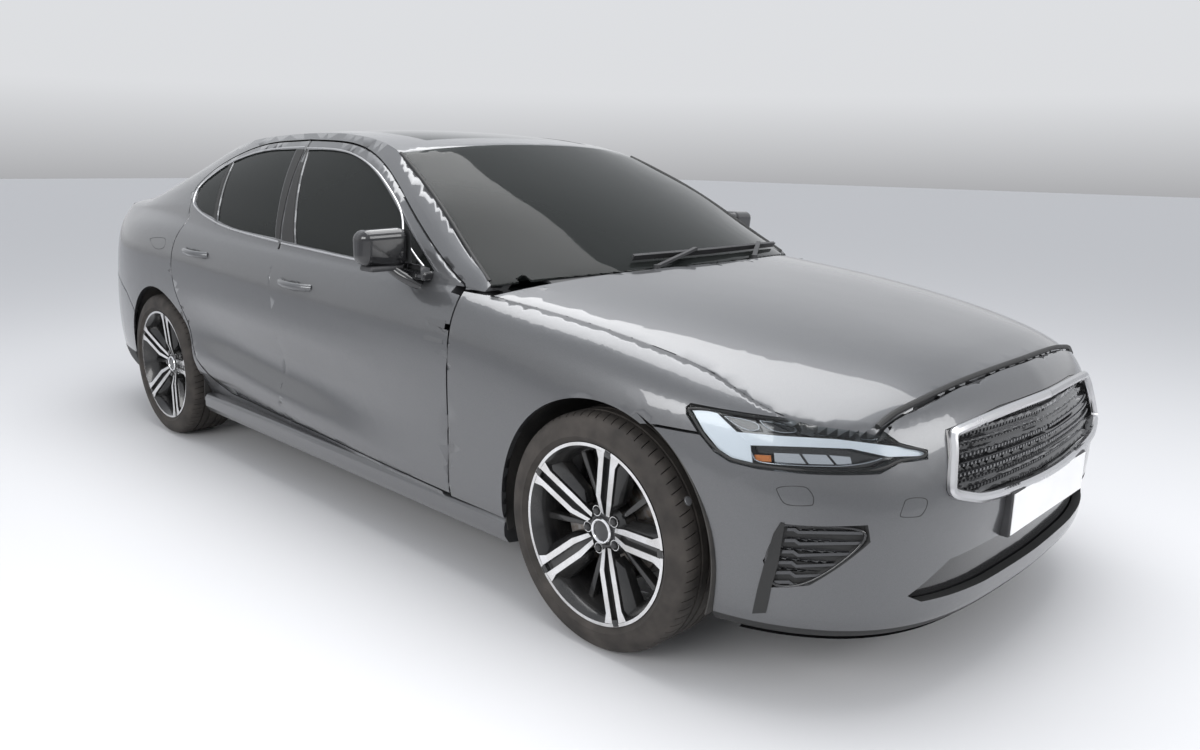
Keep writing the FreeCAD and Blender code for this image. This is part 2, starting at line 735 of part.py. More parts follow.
def hinge_halves(pin):
    """The door's half of each hinge, and the body's half with its strap to the post."""
    x, a = along(pin[0]), -across(pin[1])
    barrel = value("hinge_barrel")
    door_half, body_half = [], []
    for height in HINGE_HEIGHTS:
        z = up(height)
        door_half.append(Part.makeCylinder(barrel, 15.7, Vector(x, a, z + 0.3)))
        door_half.append(Part.makeBox(34, barrel, 15.7, Vector(x - 34, a - barrel / 2, z + 0.3)))
        body_half.append(Part.makeCylinder(barrel, 16, Vector(x, a, z - 16)))
        body_half.append(Part.makeBox(2 * barrel, 118, 16, Vector(x - barrel, a, z - 16)))
        body_half.append(Part.makeBox(barrel + 60, 24, 16, Vector(x - barrel, a + 100, z - 16)))
    return door_half, body_half


def mirror_housing():
    """A door mirror's head and the stalk that carries it, for the right door."""
    head = Part.makeBox(118, 168, 136, Vector(along(556), -1028, up(968)))
    head = head.makeFillet(26, head.Edges)
    stalk = front_block([(842, 948), (842, 984), (950, 1002), (950, 972)], 610, 676)
    foot = front_block([(842, 944), (842, 978), (878, 990), (878, 944)], 600, 730)
    return head.fuse([stalk, foot])


front_door = door(front_door_outline(), FRONT_BACK_EDGE, FRONT_FRAME_EDGE, FRONT_FRONT_EDGE, [FRONT_WINDOW])
rear_door = door(rear_door_outline(), REAR_BACK_EDGE, REAR_FRAME_EDGE, REAR_FRONT_EDGE, [REAR_WINDOW, QUARTER_LIGHT])
# The rear door's front edge swings forwards and inwards, so the front door's back edge is only a thin rim beside it
behind_rim = side_slab(lambda s, level: (200.0, 0.0), lambda s, level: (value("door_rim"), 0.0))
front_door = front_door.cut(behind_rim.common(side_block(FRONT_RIM_EDGE, OUTSIDE, INSIDE)))
front_door_half, front_body_half = hinge_halves(FRONT_HINGE)
rear_door_half, rear_body_half = hinge_halves(REAR_HINGE)
add_pair("front_door", front_door.cut(hinge_rooms(FRONT_HINGE)).fuse(front_door_half + [mirror_housing()]))
add_pair("rear_door", rear_door.cut(hinge_rooms(REAR_HINGE)).fuse(rear_door_half))
add_pair("door_posts", door_posts().fuse(front_body_half + rear_body_half))
add_pair("front_door_glass", window_glass([FRONT_WINDOW]))
add_pair("rear_door_glass", window_glass([REAR_WINDOW, QUARTER_LIGHT]))

# Front wings

# Level of the wing's top shut line along the ring: (ring distance, level)
SHUT_LEVELS = [(715, 6.0), (963, 6.3), (1080, 7.0), (1200, 7.75), (1330, 8.0), (1600, 8.0), (2400, 8.0)]
shut_level = spline([s for s, level in SHUT_LEVELS], [level for s, level in SHUT_LEVELS])
FRONT_JOINT = [(1530, 560), (1600, 640), (1652, 663), (1690, 678), (1735, 684), (1870, 686), (2250, 686)]


def belt_slab(stations, levels, start, depth):
    """A slab of the belt between two insets. levels gives each station's profile levels."""
    outer, inner = [], []
    for s in stations:
        row = levels(s)
        outer.append([place(*belt(s, level, start)) for level in row])
        inner.append([place(*belt(s, level, start + depth)) for level in row])
    return slab(outer, inner)


def level_at(s, z):
    """The profile level at which the body has height z."""
    heights, outs = profile(abs(s) if s <= TAIL else 2 * TAIL - s)
    low, high = 0.0, float(LEVELS)
    for step in range(40):
        middle = (low + high) / 2
        if heights(middle) < z:
            low = middle
        else:
            high = middle
    return (low + high) / 2


def front_wing():
    """The right front wing, from the door to the headlamp."""
    stations = spread(940, station_at(850), 22)
    outer, inner = [], []
    for s in stations:
        top = min(shut_level(s), 8.0)
        outer_row, inner_row = [], []
        for level in [top * i / 16 for i in range(17)]:
            p = place(*belt(s, level))
            turn = ease((level - top + 1.6) / 1.6)
            outer_row.append(p)
            inner_row.append(p + Vector(0, skin * (1 - turn), -skin * turn))
        outer.append(outer_row)
        inner.append(inner_row)
    shell = slab(outer, inner)
    behind_door_edge = [DOOR_FRONT, [(880, 938), (880, 1100)], [(880, 1100), (700, 1100)], [(700, 1100), (700, 100)],
                        [(700, 100), (893, 100)], [(893, 100), (893, 284)]]
    below_joint = FRONT_JOINT + [(2250, 0), (1530, 0)]
    cutters = [
        side_block(behind_door_edge, OUTSIDE, INSIDE, grow=panel_gap),
        side_block(straight(below_joint), OUTSIDE, INSIDE),
        side_block(straight([(600, 0), (600, 275), (1500, 275), (1500, 0)]), OUTSIDE, INSIDE),
        side_block(straight([(800, 924), (800, 1000), (990, 1000), (990, 918)]), OUTSIDE, INSIDE),
        arch_cut(FRONT_ARCH),
        lamp_block(HEADLAMP, fixed_gap),
    ]
    return shell.cut(cutters)


# Lamps

# Headlamp outline as points of the body: (x, across, z)
HEADLAMP = [
    (1804, 863, 738), (1814, 857, 748), (2016, 786, 741), (2110, 724, 733), (2187, 652, 722), (2204, 631, 719),
    (2239, 606, 690), (2281, 545, 669), (2284, 549, 649), (2249, 619, 647), (2226, 666, 625), (2099, 783, 621),
    (2001, 835, 621), (1938, 856, 627), (1896, 865, 645), (1849, 869, 683), (1809, 868, 722),
]
# Tail lamp outline, likewise
TAIL_LAMP = [
    (-2010, 800, 985), (-2060, 760, 1012), (-2150, 700, 1022), (-2225, 600, 1022), (-2250, 540, 1015),
    (-2255, 540, 985), (-2240, 610, 968), (-2215, 680, 940), (-2210, 700, 850), (-2235, 660, 800),
    (-2210, 720, 780), (-2160, 770, 800), (-2120, 800, 880),
]


def lamp_block(outline, grow, reach=420):
    """A block into the body's corner through an outline, grown by a margin, along the corner's diagonal."""
    sign = 1 if outline[0][0] > 0 else -1
    facing = Vector(sign, -1, 0)
    facing.normalize()
    corners = [place(*p) for p in outline]
    far = max(corner.dot(facing) for corner in corners) + 60
    middle = corners[0]
    for corner in corners[1:]:
        middle = middle + corner
    middle = middle * (1.0 / len(corners))
    sideways = Vector(0, 0, 1).cross(facing)
    flat = []
    for corner in corners:
        offset = corner - middle
        flat.append((offset.dot(sideways), offset.z))
    moved = grown([[p, q] for p, q in zip(flat, flat[1:] + flat[:1])], grow) if grow else None
    points = [piece[0] for piece in moved] if moved else flat
    base = middle + facing * (far - middle.dot(facing))
    wire = Part.makePolygon([base + sideways * u + Vector(0, 0, w) for u, w in points + points[:1]])
    return Part.Face(wire).extrude(facing * -reach)


def headlamp():
    lens = belt_slab(spread(440, 1290, 16), lambda s: spread(3.9, 6.95, 9), 1, 78)
    return lens.common(lamp_block(HEADLAMP, 0))


def tail_lamp():
    first = station_at(-1960)
    lens = belt_slab(spread(first, TAIL - 480, 14), lambda s: spread(4.8, 7.7, 9), 1, 58)
    return lens.common(lamp_block(TAIL_LAMP, 0))


# Bumpers, grille and black trim

# Level of the front bumper's top edge along the ring
BUMPER_TOP = [(0, 7.88), (337, 7.61), (568, 6.84), (662, 6.43), (714, 6.0), (900, 5.8), (1157, 5.5), (1450, 5.4)]
bumper_top = spline([s for s, level in BUMPER_TOP], [level for s, level in BUMPER_TOP])
GRILLE = [(474, 706), (512, 575), (505, 558), (372, 517), (0, 503)]
GRILLE_TOP = [(0, 738), (250, 732), (474, 706)]
LOWER_INTAKE = [(0, 408), (360, 400), (482, 392), (600, 318), (560, 296), (300, 286), (0, 284)]
CORNER_INTAKE = [(818, 498), (700, 508), (694, 466), (782, 352), (826, 334), (836, 400)]


def across_both(points):
    """Points of the right half, from the centre plane round to it again, joined to their mirror image."""
    other = [(-a, z) for a, z in reversed(points) if a > 0]
    return points + other


def grille_outline():
    right = GRILLE_TOP + GRILLE[1:]
    return across_both(right)


def full_front_block(points, grow=0.0, x_from=1900, x_to=2600):
    """A block along the car through a closed outline of drawn (across, z) corners on both sides."""
    pieces = [[p, q] for p, q in zip(points, points[1:] + points[:1])]
    if grow:
        pieces = grown(pieces, grow)
    corners = [Vector(along(x_from), -across(piece[0][0]), up(piece[0][1])) for piece in pieces]
    wire = Part.makePolygon(corners + corners[:1])
    return Part.Face(wire).extrude(Vector(along(x_to) - along(x_from), 0, 0))


def front_bumper():
    """The front bumper skin, wheel arch to wheel arch."""
    def levels(s):
        top = bumper_top(abs(s)) - 0.28
        return [top * i / 18 for i in range(19)]
    shell = belt_slab(spread(-1450, 1450, 53), levels, 0, skin)
    bonnet_corner = Part.makeBox(22, 36, 26, Vector(2194, 580, 699))
    above_joint = [(1500, 560 - 20), (1600, 640 - panel_gap)] + [(x, z - panel_gap) for x, z in FRONT_JOINT[2:6]]
    above_joint += [(2060, 686 - panel_gap), (2060, 900), (1500, 900)]
    corner = full_front_block(CORNER_INTAKE)
    cutters = [
        side_block(straight(above_joint), OUTSIDE, -OUTSIDE),
        arch_cut(FRONT_ARCH), mirrored(arch_cut(FRONT_ARCH)),
        lamp_block(HEADLAMP, fixed_gap), mirrored(lamp_block(HEADLAMP, fixed_gap)),
        full_front_block(grille_outline(), 1.0),
        full_front_block(across_both(LOWER_INTAKE)),
        corner, mirrored(corner),
        bonnet_corner, mirrored(bonnet_corner),
    ]
    return shell.cut(cutters)


def grille():
    """The grille's bright surround and its rows of short bars."""
    surround_slab = belt_slab(spread(-620, 620, 25), lambda s: spread(3.2, 7.2, 13), -5, 32)
    surround = surround_slab.common(full_front_block(grille_outline()))
    surround = surround.cut(full_front_block(grille_outline(), -20))
    mesh_slab = belt_slab(spread(-620, 620, 25), lambda s: spread(3.2, 7.2, 13), 12, 10)
    plate = belt_slab(spread(-620, 620, 25), lambda s: spread(3.2, 7.2, 13), 22, 5)
    inside = full_front_block(grille_outline(), -19.5)
    bars = []
    for row in range(9):
        z = up(722) - row * 25
        bars.append(Part.makeBox(800, 1100, 9, Vector(along(1900), -550, z - 9)))
    mesh = mesh_slab.common(inside).common(Part.makeCompound(bars))
    return surround.fuse([plate.common(inside), mesh])


def bumper_trim():
    """The black panel behind the lower openings, the corners' slats and the front lip."""
    def heights(s):
        return spread(0.5, 3.15 + 0.85 * ease((abs(s) - 560) / 110), 9)
    backing = belt_slab(spread(-1010, 1010, 41), heights, skin + fixed_gap + 3, 6)
    slats = belt_slab(spread(-1010, 1010, 33), lambda s: spread(0.5, 3.9, 9), 14, skin - 7)
    opening = Part.makeCompound([full_front_block(CORNER_INTAKE), mirrored(full_front_block(CORNER_INTAKE))])
    bars = [Part.makeBox(700, 1900, 7, Vector(along(1900), -950, up(352 + 26 * row))) for row in range(6)]
    slats = slats.common(opening).common(Part.makeCompound(bars))
    lip = belt_slab(spread(-1030, 1030, 35), lambda s: spread(-0.3, -0.02, 3), -14, skin + 30)
    foot = belt_slab(spread(-1010, 1010, 33), lambda s: spread(-0.2, 0.8, 5), skin + fixed_gap + 3, 12)
    return backing.fuse([slats, foot, lip])


def rear_levels(s):
    return spread(0.0, 5.6, 15)


def rear_bumper():
    first = station_at(-1600)
    shell = belt_slab(spread(first, 2 * TAIL - first, 49), rear_levels, 0, skin)
    above_joint = [(x, z - panel_gap) for x, z in REAR_JOINT] + [(-2420, 1300), (-1560, 1300)]
    cutters = [
        side_block(straight(above_joint), OUTSIDE, -OUTSIDE),
        arch_cut(REAR_ARCH), mirrored(arch_cut(REAR_ARCH)),
    ]
    return shell.cut(cutters)



# Bonnet and boot lid

BONNET_CENTRE = [
    (1252, 986), (1450, 966), (1650, 942), (1850, 912), (2050, 876), (2180, 845), (2273, 809),
]
bonnet_centre = spline([p[0] for p in BONNET_CENTRE], [p[1] for p in BONNET_CENTRE])
BONNET_DEPTH = 20
BONNET_HINGE = (1000, 905)


def bonnet_slab(gap, depth, lift=0.0):
    """The bonnet's slab, its sides gap inside the wings' edges."""
    side_points, centre_points = [], []
    spare = panel_gap - gap
    for t in spread(0, 1, 15):
        s = station_at(1010) + (700 - station_at(1010)) * t
        x, a, z = belt(s, min(shut_level(max(s, 715)), 8.0))
        beyond = spare if t > 0.99 else -spare if t < 0.01 else 0
        side_points.append((x + beyond, a - gap + abs(beyond), z))
        xc = 1252 + (2273 - 1252) * t
        centre_points.append((xc + beyond, bonnet_centre(xc)))
    upper = patch(side_points, centre_points, 2, 3)
    outer = [[p + Vector(0, 0, lift) for p in row] for row in upper]
    inner = [[p - Vector(0, 0, depth) for p in row] for row in upper]
    return slab(outer, inner)


def resampled(side_points, centre_points, count):
    """The same side and centre lines with evenly spaced rows."""
    knots = [0.0]
    for (x0, z0), (x1, z1) in zip(centre_points, centre_points[1:]):
        knots.append(knots[-1] + math.hypot(x1 - x0, z1 - z0))
    lines = [spline(knots, [p[i] for p in side_points]) for i in range(3)]
    middle = [spline(knots, [p[i] for p in centre_points]) for i in range(2)]
    at = spread(0, knots[-1], count)
    return [tuple(f(k) for f in lines) for k in at], [tuple(f(k) for f in middle) for k in at]


LID_TOP = [(-1800, 1110), (-1950, 1101), (-2100, 1094), (-2230, 1095), (-2328, 1099)]
LID_BACK = [(-2327, 1090), (-2313, 1050), (-2303, 1000), (-2303, 900), (-2316, 840), (-2330, 790)]
LID_HINGE = (-1797, 1106)
# The lid's place in plan with its gap, as drawn (x, across), on the right half
LID_ROOM = [
    (-1790, 300), (-1790, 630), (-1808, 638), (-1940, 648), (-2060, 650), (-2420, 655), (-2420, 300),
]
# The lid's own edge in plan, inside that room
LID_EDGE = [(-1700, 0), (-1700, 616), (-1808, 631), (-1940, 641), (-2060, 643), (-2420, 648), (-2420, 0)]
# Where the lid's side runs over the flat end of the body's shoulder
LID_SHOULDER = (-2140, 648, 1064)


def lid_slab(gap, depth, drop, lift=0.0):
    """The boot lid: a slab down the top to the lip, and one from the lip down the back."""
    corner = SIDE_TAIL + gap
    side_points = [(x, top_a(-x) - gap, top_z(-x)) for x in (-1808, -1940, -2060)]
    side_points += [LID_SHOULDER, belt(corner, LEVELS)]
    upper = patch(*resampled(side_points, LID_TOP, 10), 2.5, 2.5)
    outer = shifted(upper, -lift)
    top = slab(outer, [[Vector(p.x, p.y * 0.97, p.z - depth) for p in row] for row in upper])
    back_side = []
    for z in (1046, 1020, 985, 900, 840, 790 - drop):
        back_side.append(belt(corner, level_at(corner, z)))
    back_centre = LID_BACK[:-1] + [(LID_BACK[-1][0], LID_BACK[-1][1] - drop)]
    behind = patch(*resampled(back_side, back_centre, 12), 2.5, 2.5)
    outer = [[p - Vector(lift, 0, 0) for p in row] for row in behind]
    inner = [[Vector(p.x + depth, p.y * 0.96, p.z) for p in row] for row in behind]
    return top, slab(outer, inner)


def lid_hinge_halves(pin, a):
    """Two facing barrels on a pin across the car: the lid's at a, and the body's next to it, inboard."""
    barrel = value("hinge_barrel")
    spot = Vector(along(pin[0]), -across(a), up(pin[1]))
    lid_half = Part.makeCylinder(barrel, 14, spot - Vector(0, 0.3, 0), Vector(0, -1, 0))
    body_half = Part.makeCylinder(barrel, 14, spot, Vector(0, 1, 0))
    return lid_half, body_half


# Windscreen

def screen_at(t, q):
    """A point of the windscreen's outer face: t up from its foot, q across, from -1 on the right."""
    xe, xc = 972 + (249.8 - 972) * t, 1205 + (336.8 - 1205) * t
    ze, zc = top_z(-xe), 982 + (1372 - 982) * t + 40 * t * (1 - t)
    away = abs(q)
    return place(xc + (xe - xc) * away ** 2, q * (top_a(-xe) - fixed_gap), zc - (zc - ze) * away ** 2.4, LEFT)


def screen_rows():
    return [[screen_at(t, q) for q in spread(-1, 1, 21)] for t in spread(0, 1, 11)]


def cowl_panel():
    """The tray below the windscreen's foot and the bonnet's back edge."""
    foot = screen_rows()[0]
    steps = [(-30, -2), (24, -13), (40, -44), (112, -46)]
    outer, inner = [], []
    for dx, dz in steps:
        row = [p + Vector(dx, 0, dz - 5.7) for p in foot[2:-2]]
        outer.append(row)
        inner.append([p - Vector(0, 0, 8) for p in row])
    return slab(outer, inner)


def bar(start, end, width, height):
    """A straight bar between two points, width across it and height square to both."""
    run = end - start
    aside = run.cross(Vector(0, 0, 1))
    aside.normalize()
    rise = aside.cross(run)
    rise.normalize()
    corners = [start + aside * (u * width / 2) + rise * (w * height / 2) for u, w in ((1, 1), (1, -1), (-1, -1), (-1, 1))]
    return Part.Face(Part.makePolygon(corners + corners[:1])).extrude(run)


def over_screen(t, q, lift):
    """A point over the windscreen, lifted about square to the glass."""
    return screen_at(t, q) + Vector(0.42 * lift, 0, 0.9 * lift)


def wipers():
    """Two arms, each on its spindle, with a blade that follows the glass."""
    made = []
    for spindle, root, tip in ((-0.36, -0.42, 0.28), (0.30, 0.20, 0.80)):
        foot = over_screen(-0.03, spindle, 0)
        made.append(Part.makeCylinder(11, 30, foot - Vector(0, 0, 3.5)))
        middle = (root + tip) / 2
        made.append(bar(foot + Vector(0, 0, 20), over_screen(0.05, middle, 30), 16, 9))
        line = spread(root, tip, 9)
        upper = [[over_screen(t, q, 27) for q in line] for t in (0.040, 0.046, 0.052)]
        lower = [[over_screen(t, q, 6) for q in line] for t in (0.044, 0.046, 0.048)]
        made.append(slab(upper, lower))
    return made


# Inside and below

def board(points, a_from, a_to, side=RIGHT):
    """A block across the car: drawn (x, z) corners, from across a_from to a_to."""
    corners = [Vector(along(x), side * across(a_from), up(z)) for x, z in points]
    face = Part.Face(Part.makePolygon(corners + corners[:1]))
    return face.extrude(Vector(0, side * (across(a_to) - across(a_from)), 0))


def box(x0, x1, a0, a1, z0, z1):
    """A box between drawn limits; across runs to the right."""
    return Part.makeBox(along(x1) - along(x0), across(a1) - across(a0), up(z1) - up(z0),
                        Vector(along(x0), -across(a1), up(z0)))


def floor_pan():
    sheet = [
        (1060, 172), (1060, 880), (1042, 880), (1042, 195), (-380, 195), (-405, 300), (-960, 318), (-1010, 425),
        (-2215, 445), (-2215, 425), (-1022, 403), (-978, 298), (-425, 280), (-398, 172),
    ]
    pan = board(sheet, -734.4, 734.4)
    tunnel = board([(1042, 190), (1042, 330), (700, 300), (-400, 300), (-400, 190)], -110, 110)
    hollow = board([(1075, 150), (1075, 318), (690, 286), (-430, 286), (-430, 150)], -94, 94)
    arches = [wheel_round(REAR_ARCH, value("liner_radius + fixed_gap"), OUTSIDE, 540)]
    arches += [wheel_round(FRONT_ARCH, value("liner_radius + fixed_gap"), OUTSIDE, 499.4).cut(
        box(1440, 1620, 480, 680, 700, 760))]
    wells = [cut for arch in arches for cut in (arch, mirrored(arch))]
    rails = [box(1055, 2200, 430, 490, 330, 400), box(1055, 2200, -490, -430, 330, 400)]
    front = box(2130, 2165, -560, 560, 330, 560)
    towers = []
    for tower in (box(1460, 1600, 486, 496, 395, 742).fuse(box(1460, 1600, 486, 665, 730.3, 742)),):
        tower = tower.cut(box(1380, 1680, 480, 500, 694, 722))
        towers += [tower, mirrored(tower)]
    return pan.fuse([tunnel] + rails + [front] + towers).cut([hollow] + wells)


def seat(middle):
    """A front seat about a line across the car."""
    cushion = board([(-60, 305), (480, 330), (500, 440), (440, 470), (-20, 440), (-80, 460)], middle - 250, middle + 250)
    back = board([(-90, 420), (20, 450), (-130, 800), (-240, 990), (-300, 1000), (-330, 940), (-180, 600)], middle - 245, middle + 245)
    rest = board([(-262, 1010), (-205, 1030), (-240, 1170), (-300, 1180), (-330, 1030)], middle - 130, middle + 130)
    stem = board([(-300, 980), (-270, 980), (-270, 1040), (-300, 1040)], middle - 80, middle + 80)
    rails = board([(-40, 195.3), (430, 195.3), (430, 335), (-40, 310)], middle - 210, middle - 180)
    rails_in = board([(-40, 195.3), (430, 195.3), (430, 335), (-40, 310)], middle + 180, middle + 210)
    return cushion.fuse([back, rest, stem, rails, rails_in])


def rear_seat():
    cushion = board([(-330, 300.4), (-330, 470), (-400, 490), (-800, 450), (-800, 313.1), (-410, 300.4)], -640, 640)
    back = board([(-760, 440), (-930, 440), (-1120, 940), (-1060, 960), (-1000, 940)], -610, 610)
    rests = [board([(-1100, 940), (-1040, 940), (-1050, 1080), (-1100, 1080)], a - 110, a + 110) for a in (-390, 390)]
    return cushion.fuse([back] + rests)


def dashboard():
    top = [
        (1041.7, 520), (1041.7, 862), (960, 880), (760, 892), (650, 852), (625, 770), (680, 650), (760, 560), (900, 520),
    ]
    console = board([(760, 305.8), (760, 620), (640, 560), (420, 470), (-150, 500), (-170, 300.3), (700, 300.3)], -112, 112)
    binnacle = board([(760, 866), (625, 846), (610, 900), (645, 935), (780, 915)], 230, 510)
    axis, centre = steering_line()
    shroud = Part.makeCylinder(30, 130, centre - axis * 100.3, axis * -1)
    return board(top, -700, 700).fuse([console, binnacle, shroud])


def steering_line():
    """The steering wheel's axis, towards the driver, and its centre."""
    slope = math.radians(24)
    return Vector(-math.cos(slope), 0, math.sin(slope)), Vector(along(520), -across(370), up(850))


def rear_shelf():
    """The shelf behind the rear seat, up to the rear window's foot."""
    shelf = board([(-1125, 940), (-1125, 958), (-1560, 1010), (-1770, 1060), (-1770, 1042), (-1560, 990)], -560, 560)
    return shelf


def exhaust():
    path = [(1340, -130, 325), (1320, -120, 164), (1000, -60, 138), (-1050, -60, 140), (-1500, -60, 190), (-1780, -60, 240)]
    runs = []
    points = [Vector(along(x), y, up(z)) for x, y, z in path]
    for start, end in zip(points, points[1:]):
        run = end - start
        runs.append(Part.makeCylinder(22, run.Length, start, run))
        runs.append(Part.makeSphere(22, end))
    silencer = box(-2120, -1770, -480, 480, 200, 300)
    silencer = silencer.makeFillet(30, silencer.Edges)
    tips = [box(-1900, -1884, 300, 312, 295, 418.7), box(-1900, -1884, -312, -300, 295, 418.7)]
    for side in (RIGHT, LEFT):
        tips.append(Part.makeCylinder(21, 250, Vector(along(-2080), side * across(430), up(222)), Vector(-1, 0, 0)))
    return runs[0].fuse(runs[1:] + [silencer] + tips)


def liner(axle, far):
    """The arch's lining: a thin round roof over the wheel and a wall inside it."""
    radius, wall = value("liner_radius"), value("liner_wall")
    outer = wheel_round(axle, radius, 885, far)
    inner = wheel_round(axle, radius - wall, 890, far + wall)
    below = Part.makeBox(1200, 1200, 1000, Vector(axle - 600, -1100, wheel_centre - 105 - 1000))
    return outer.cut([inner, below])


def front_liner():
    """With room for the strut and the upper arm."""
    x = DRAWN_FRONT_AXLE
    strut = Part.makeCylinder(46, 500, Vector(along(x), -across(588), up(260)))
    return liner(FRONT_ARCH, 500).cut([strut, box(x - 170, x + 150, 490, 560, 688, 730)])


def rear_liner():
    """With room for the upper arm, and cut clear of the rear door."""
    x = DRAWN_REAR_AXLE
    behind_door = side_block(rear_door_outline(), OUTSIDE, 800, grow=panel_gap + 2)
    return liner(REAR_ARCH, 560).cut([box(x - 30, x + 30, 550, 580, 362, 408), behind_door])


KINGPIN_LOW, KINGPIN_HIGH = (760, 190), (658, 690)


BALL = 10


def ball(point, radius):
    """A ball of the steering axis, at a kingpin point (across, z)."""
    return Part.makeSphere(radius, place(DRAWN_FRONT_AXLE, point[0], point[1]))


def knuckle():
    """The right front wheel carrier, with sockets for its two ball joints, and the brake calliper."""
    x = DRAWN_FRONT_AXLE
    stub = wheel_round(FRONT_ARCH, value("hub_bore"), half_track + 49, 690)
    carrier = wheel_round(FRONT_ARCH, 62, 735, 690)
    low = front_block([(735, 192), (735, 300), (700, 300), (700, 270), (722, 192)], x - 24, x + 24)
    ear = front_block([(725, 192), (764, 192), (764, 232), (725, 232)], x - 20, x + 20)
    neck = front_block([
        (735, 300), (735, 380), (690, 480), (677, 664), (677, 688), (640, 688), (640, 660), (646, 470), (690, 330),
        (690, 300),
    ], x - 20, x + 20)
    steer_arm = box(x - 150, x - 10, 702, 722, 322, 348)
    bracket = box(x - 130, x - 40, 712, 730, 320, 352)
    whole = stub.fuse([carrier, low, ear, neck, steer_arm, calliper_round(FRONT_ARCH), bracket])
    return whole.cut([ball(KINGPIN_LOW, BALL + 0.3), ball(KINGPIN_HIGH, BALL + 0.3)])


def calliper_round(axle):
    """A brake calliper, seen from its wheel's back, clear of the disc."""
    disc = value("disc_radius")
    inner, outer = half_track - 25, half_track + 1
    ring = wheel_round(axle, disc + 26, outer + 18, inner - 48).cut(wheel_round(axle, disc - 62, outer + 60, inner - 60))
    sector = Part.makeBox(190, 1000, 180, Vector(axle - 215, -1400 + 300, wheel_centre - 90))
    slot = wheel_round(axle, disc + 6, outer + 6, inner - 6)
    return ring.common(sector).cut(slot)


def front_suspension():
    """The right lower and upper arms with their balls, and the strut."""
    x = DRAWN_FRONT_AXLE
    lower = top_block([(x + 15, 764), (x - 15, 764), (x - 60, 380), (x - 330, 380), (x - 330, 330), (x + 60, 330)], 158, 178)
    upper = top_block([
        (x + 14, 668), (x - 14, 668), (x - 110, 485.7), (x - 140, 485.7), (x - 140, 470), (x + 120, 470), (x + 120, 485.7),
        (x + 90, 485.7),
    ], 700, 716)
    low_pin = Part.makeCylinder(7, 14, place(x, KINGPIN_LOW[0] - 4, KINGPIN_LOW[1] - 16))
    high_pin = Part.makeCylinder(7, 14, place(x, KINGPIN_HIGH[0] - 2, KINGPIN_HIGH[1]))
    strut = Part.makeCylinder(34, up(730) - up(230), place(x, 588, 230))
    fork = box(x - 14, x + 14, 578, 598, 170, 235)
    riser = box(1210, 1260, 335, 378, 170, 200)
    return lower.fuse([upper, strut, fork, low_pin, high_pin, riser, ball(KINGPIN_LOW, BALL), ball(KINGPIN_HIGH, BALL)])


def rear_suspension():
    """The right rear arms, spring, and wheel carrier with its stub axle and calliper."""
    x = DRAWN_REAR_AXLE
    stub = wheel_round(REAR_ARCH, value("hub_bore"), half_track + 49, 690)
    carrier = wheel_round(REAR_ARCH, 62, 735, 680)
    plate = box(x - 90, x + 90, 680, 712, 205, 410)
    bracket = box(x - 130, x - 40, 702, 730, 320, 352)
    lower = box(x - 40, x + 40, 330, 700, 205, 229)
    trailing = top_block([(x + 60, 700), (x - 10, 700), (x - 10, 660), (x + 440, 560), (x + 440, 610)], 205, 228)
    post = box(x + 390, x + 436, 566, 604, 210, 295.3)
    upper = box(x - 20, x + 20, 380, 700, 372, 396)
    hanger = box(x - 20, x + 20, 360, 399, 280, 396)
    spring = Part.makeCylinder(44, up(402.5) - up(225), place(x, 490, 225))
    return stub.fuse([carrier, plate, bracket, lower, trailing, post, upper, hanger, spring, calliper_round(REAR_ARCH)])


def subframe(x0, x1, half, z0, z1):
    """A frame under the body, with its two side rails and two cross members."""
    rails = [box(x0, x1, half - 60, half, z0, z1), box(x0, x1, -half, -half + 60, z0, z1)]
    crosses = [box(x0, x0 + 70, -half, half, z0, z1), box(x1 - 70, x1, -half, half, z0, z1)]
    return rails[0].fuse(rails[1:] + crosses)


def steering_wheel():
    """The wheel with its hub and a stub of column, about its own tilted axis."""
    axis, centre = steering_line()
    rim = Part.makeTorus(178, 14, centre, axis)
    hub = Part.makeCylinder(62, 40, centre - axis * 44, axis)
    column = Part.makeCylinder(24, 60, centre - axis * 100, axis)
    spokes = []
    across_way = Vector(0, 1, 0)
    downwards = axis.cross(across_way)
    if downwards.z > 0:
        downwards = downwards * -1
    for way in (across_way, across_way * -1, downwards):
        spokes.append(bar(centre - axis * 18 + way * 40, centre + way * 172, 40, 12))
    return rim.fuse([hub, column] + spokes)

# Wheels

def origin_part(body, role):
    for feature in body.Origin.OriginFeatures:
        if feature.Role == role:
            return feature


def drawn_body(label):
    body = doc.addObject("PartDesign::Body", label)
    body.Label = label
    return body


def closed_sketch(body, corners, plane="XY_Plane", offset=0.0):
    """A sketch in one of the body's planes: each corner is a pair of formulas, along its two axes."""
    sketch = doc.addObject("Sketcher::SketchObject", body.Name + "_sketch")
    body.addObject(sketch)
    sketch.AttachmentSupport = [(origin_part(body, plane), "")]
    sketch.MapMode = "FlatFace"
    sketch.AttachmentOffset = FreeCAD.Placement(Vector(0, 0, offset), FreeCAD.Rotation())
    loops = corners if isinstance(corners[0], list) else [corners]
    first = 0
    for ring in loops:
        spots = [Vector(value(u), value(w), 0) for u, w in ring]
        count = len(spots)
        for i in range(count):
            sketch.addGeometry(Part.LineSegment(spots[i], spots[(i + 1) % count]), False)
        for i in range(count):
            sketch.addConstraint(Sketcher.Constraint("Coincident", first + i, 2, first + (i + 1) % count, 1))
        for i, (u, w) in enumerate(ring):
            for kind, formula in (("DistanceX", u), ("DistanceY", w)):
                made = sketch.addConstraint(Sketcher.Constraint(kind, -1, 1, first + i, 1, value(formula)))
                if cells(formula) != str(formula):
                    sketch.setExpression(f"Constraints[{made}]", cells(formula))
        first += count
    return sketch


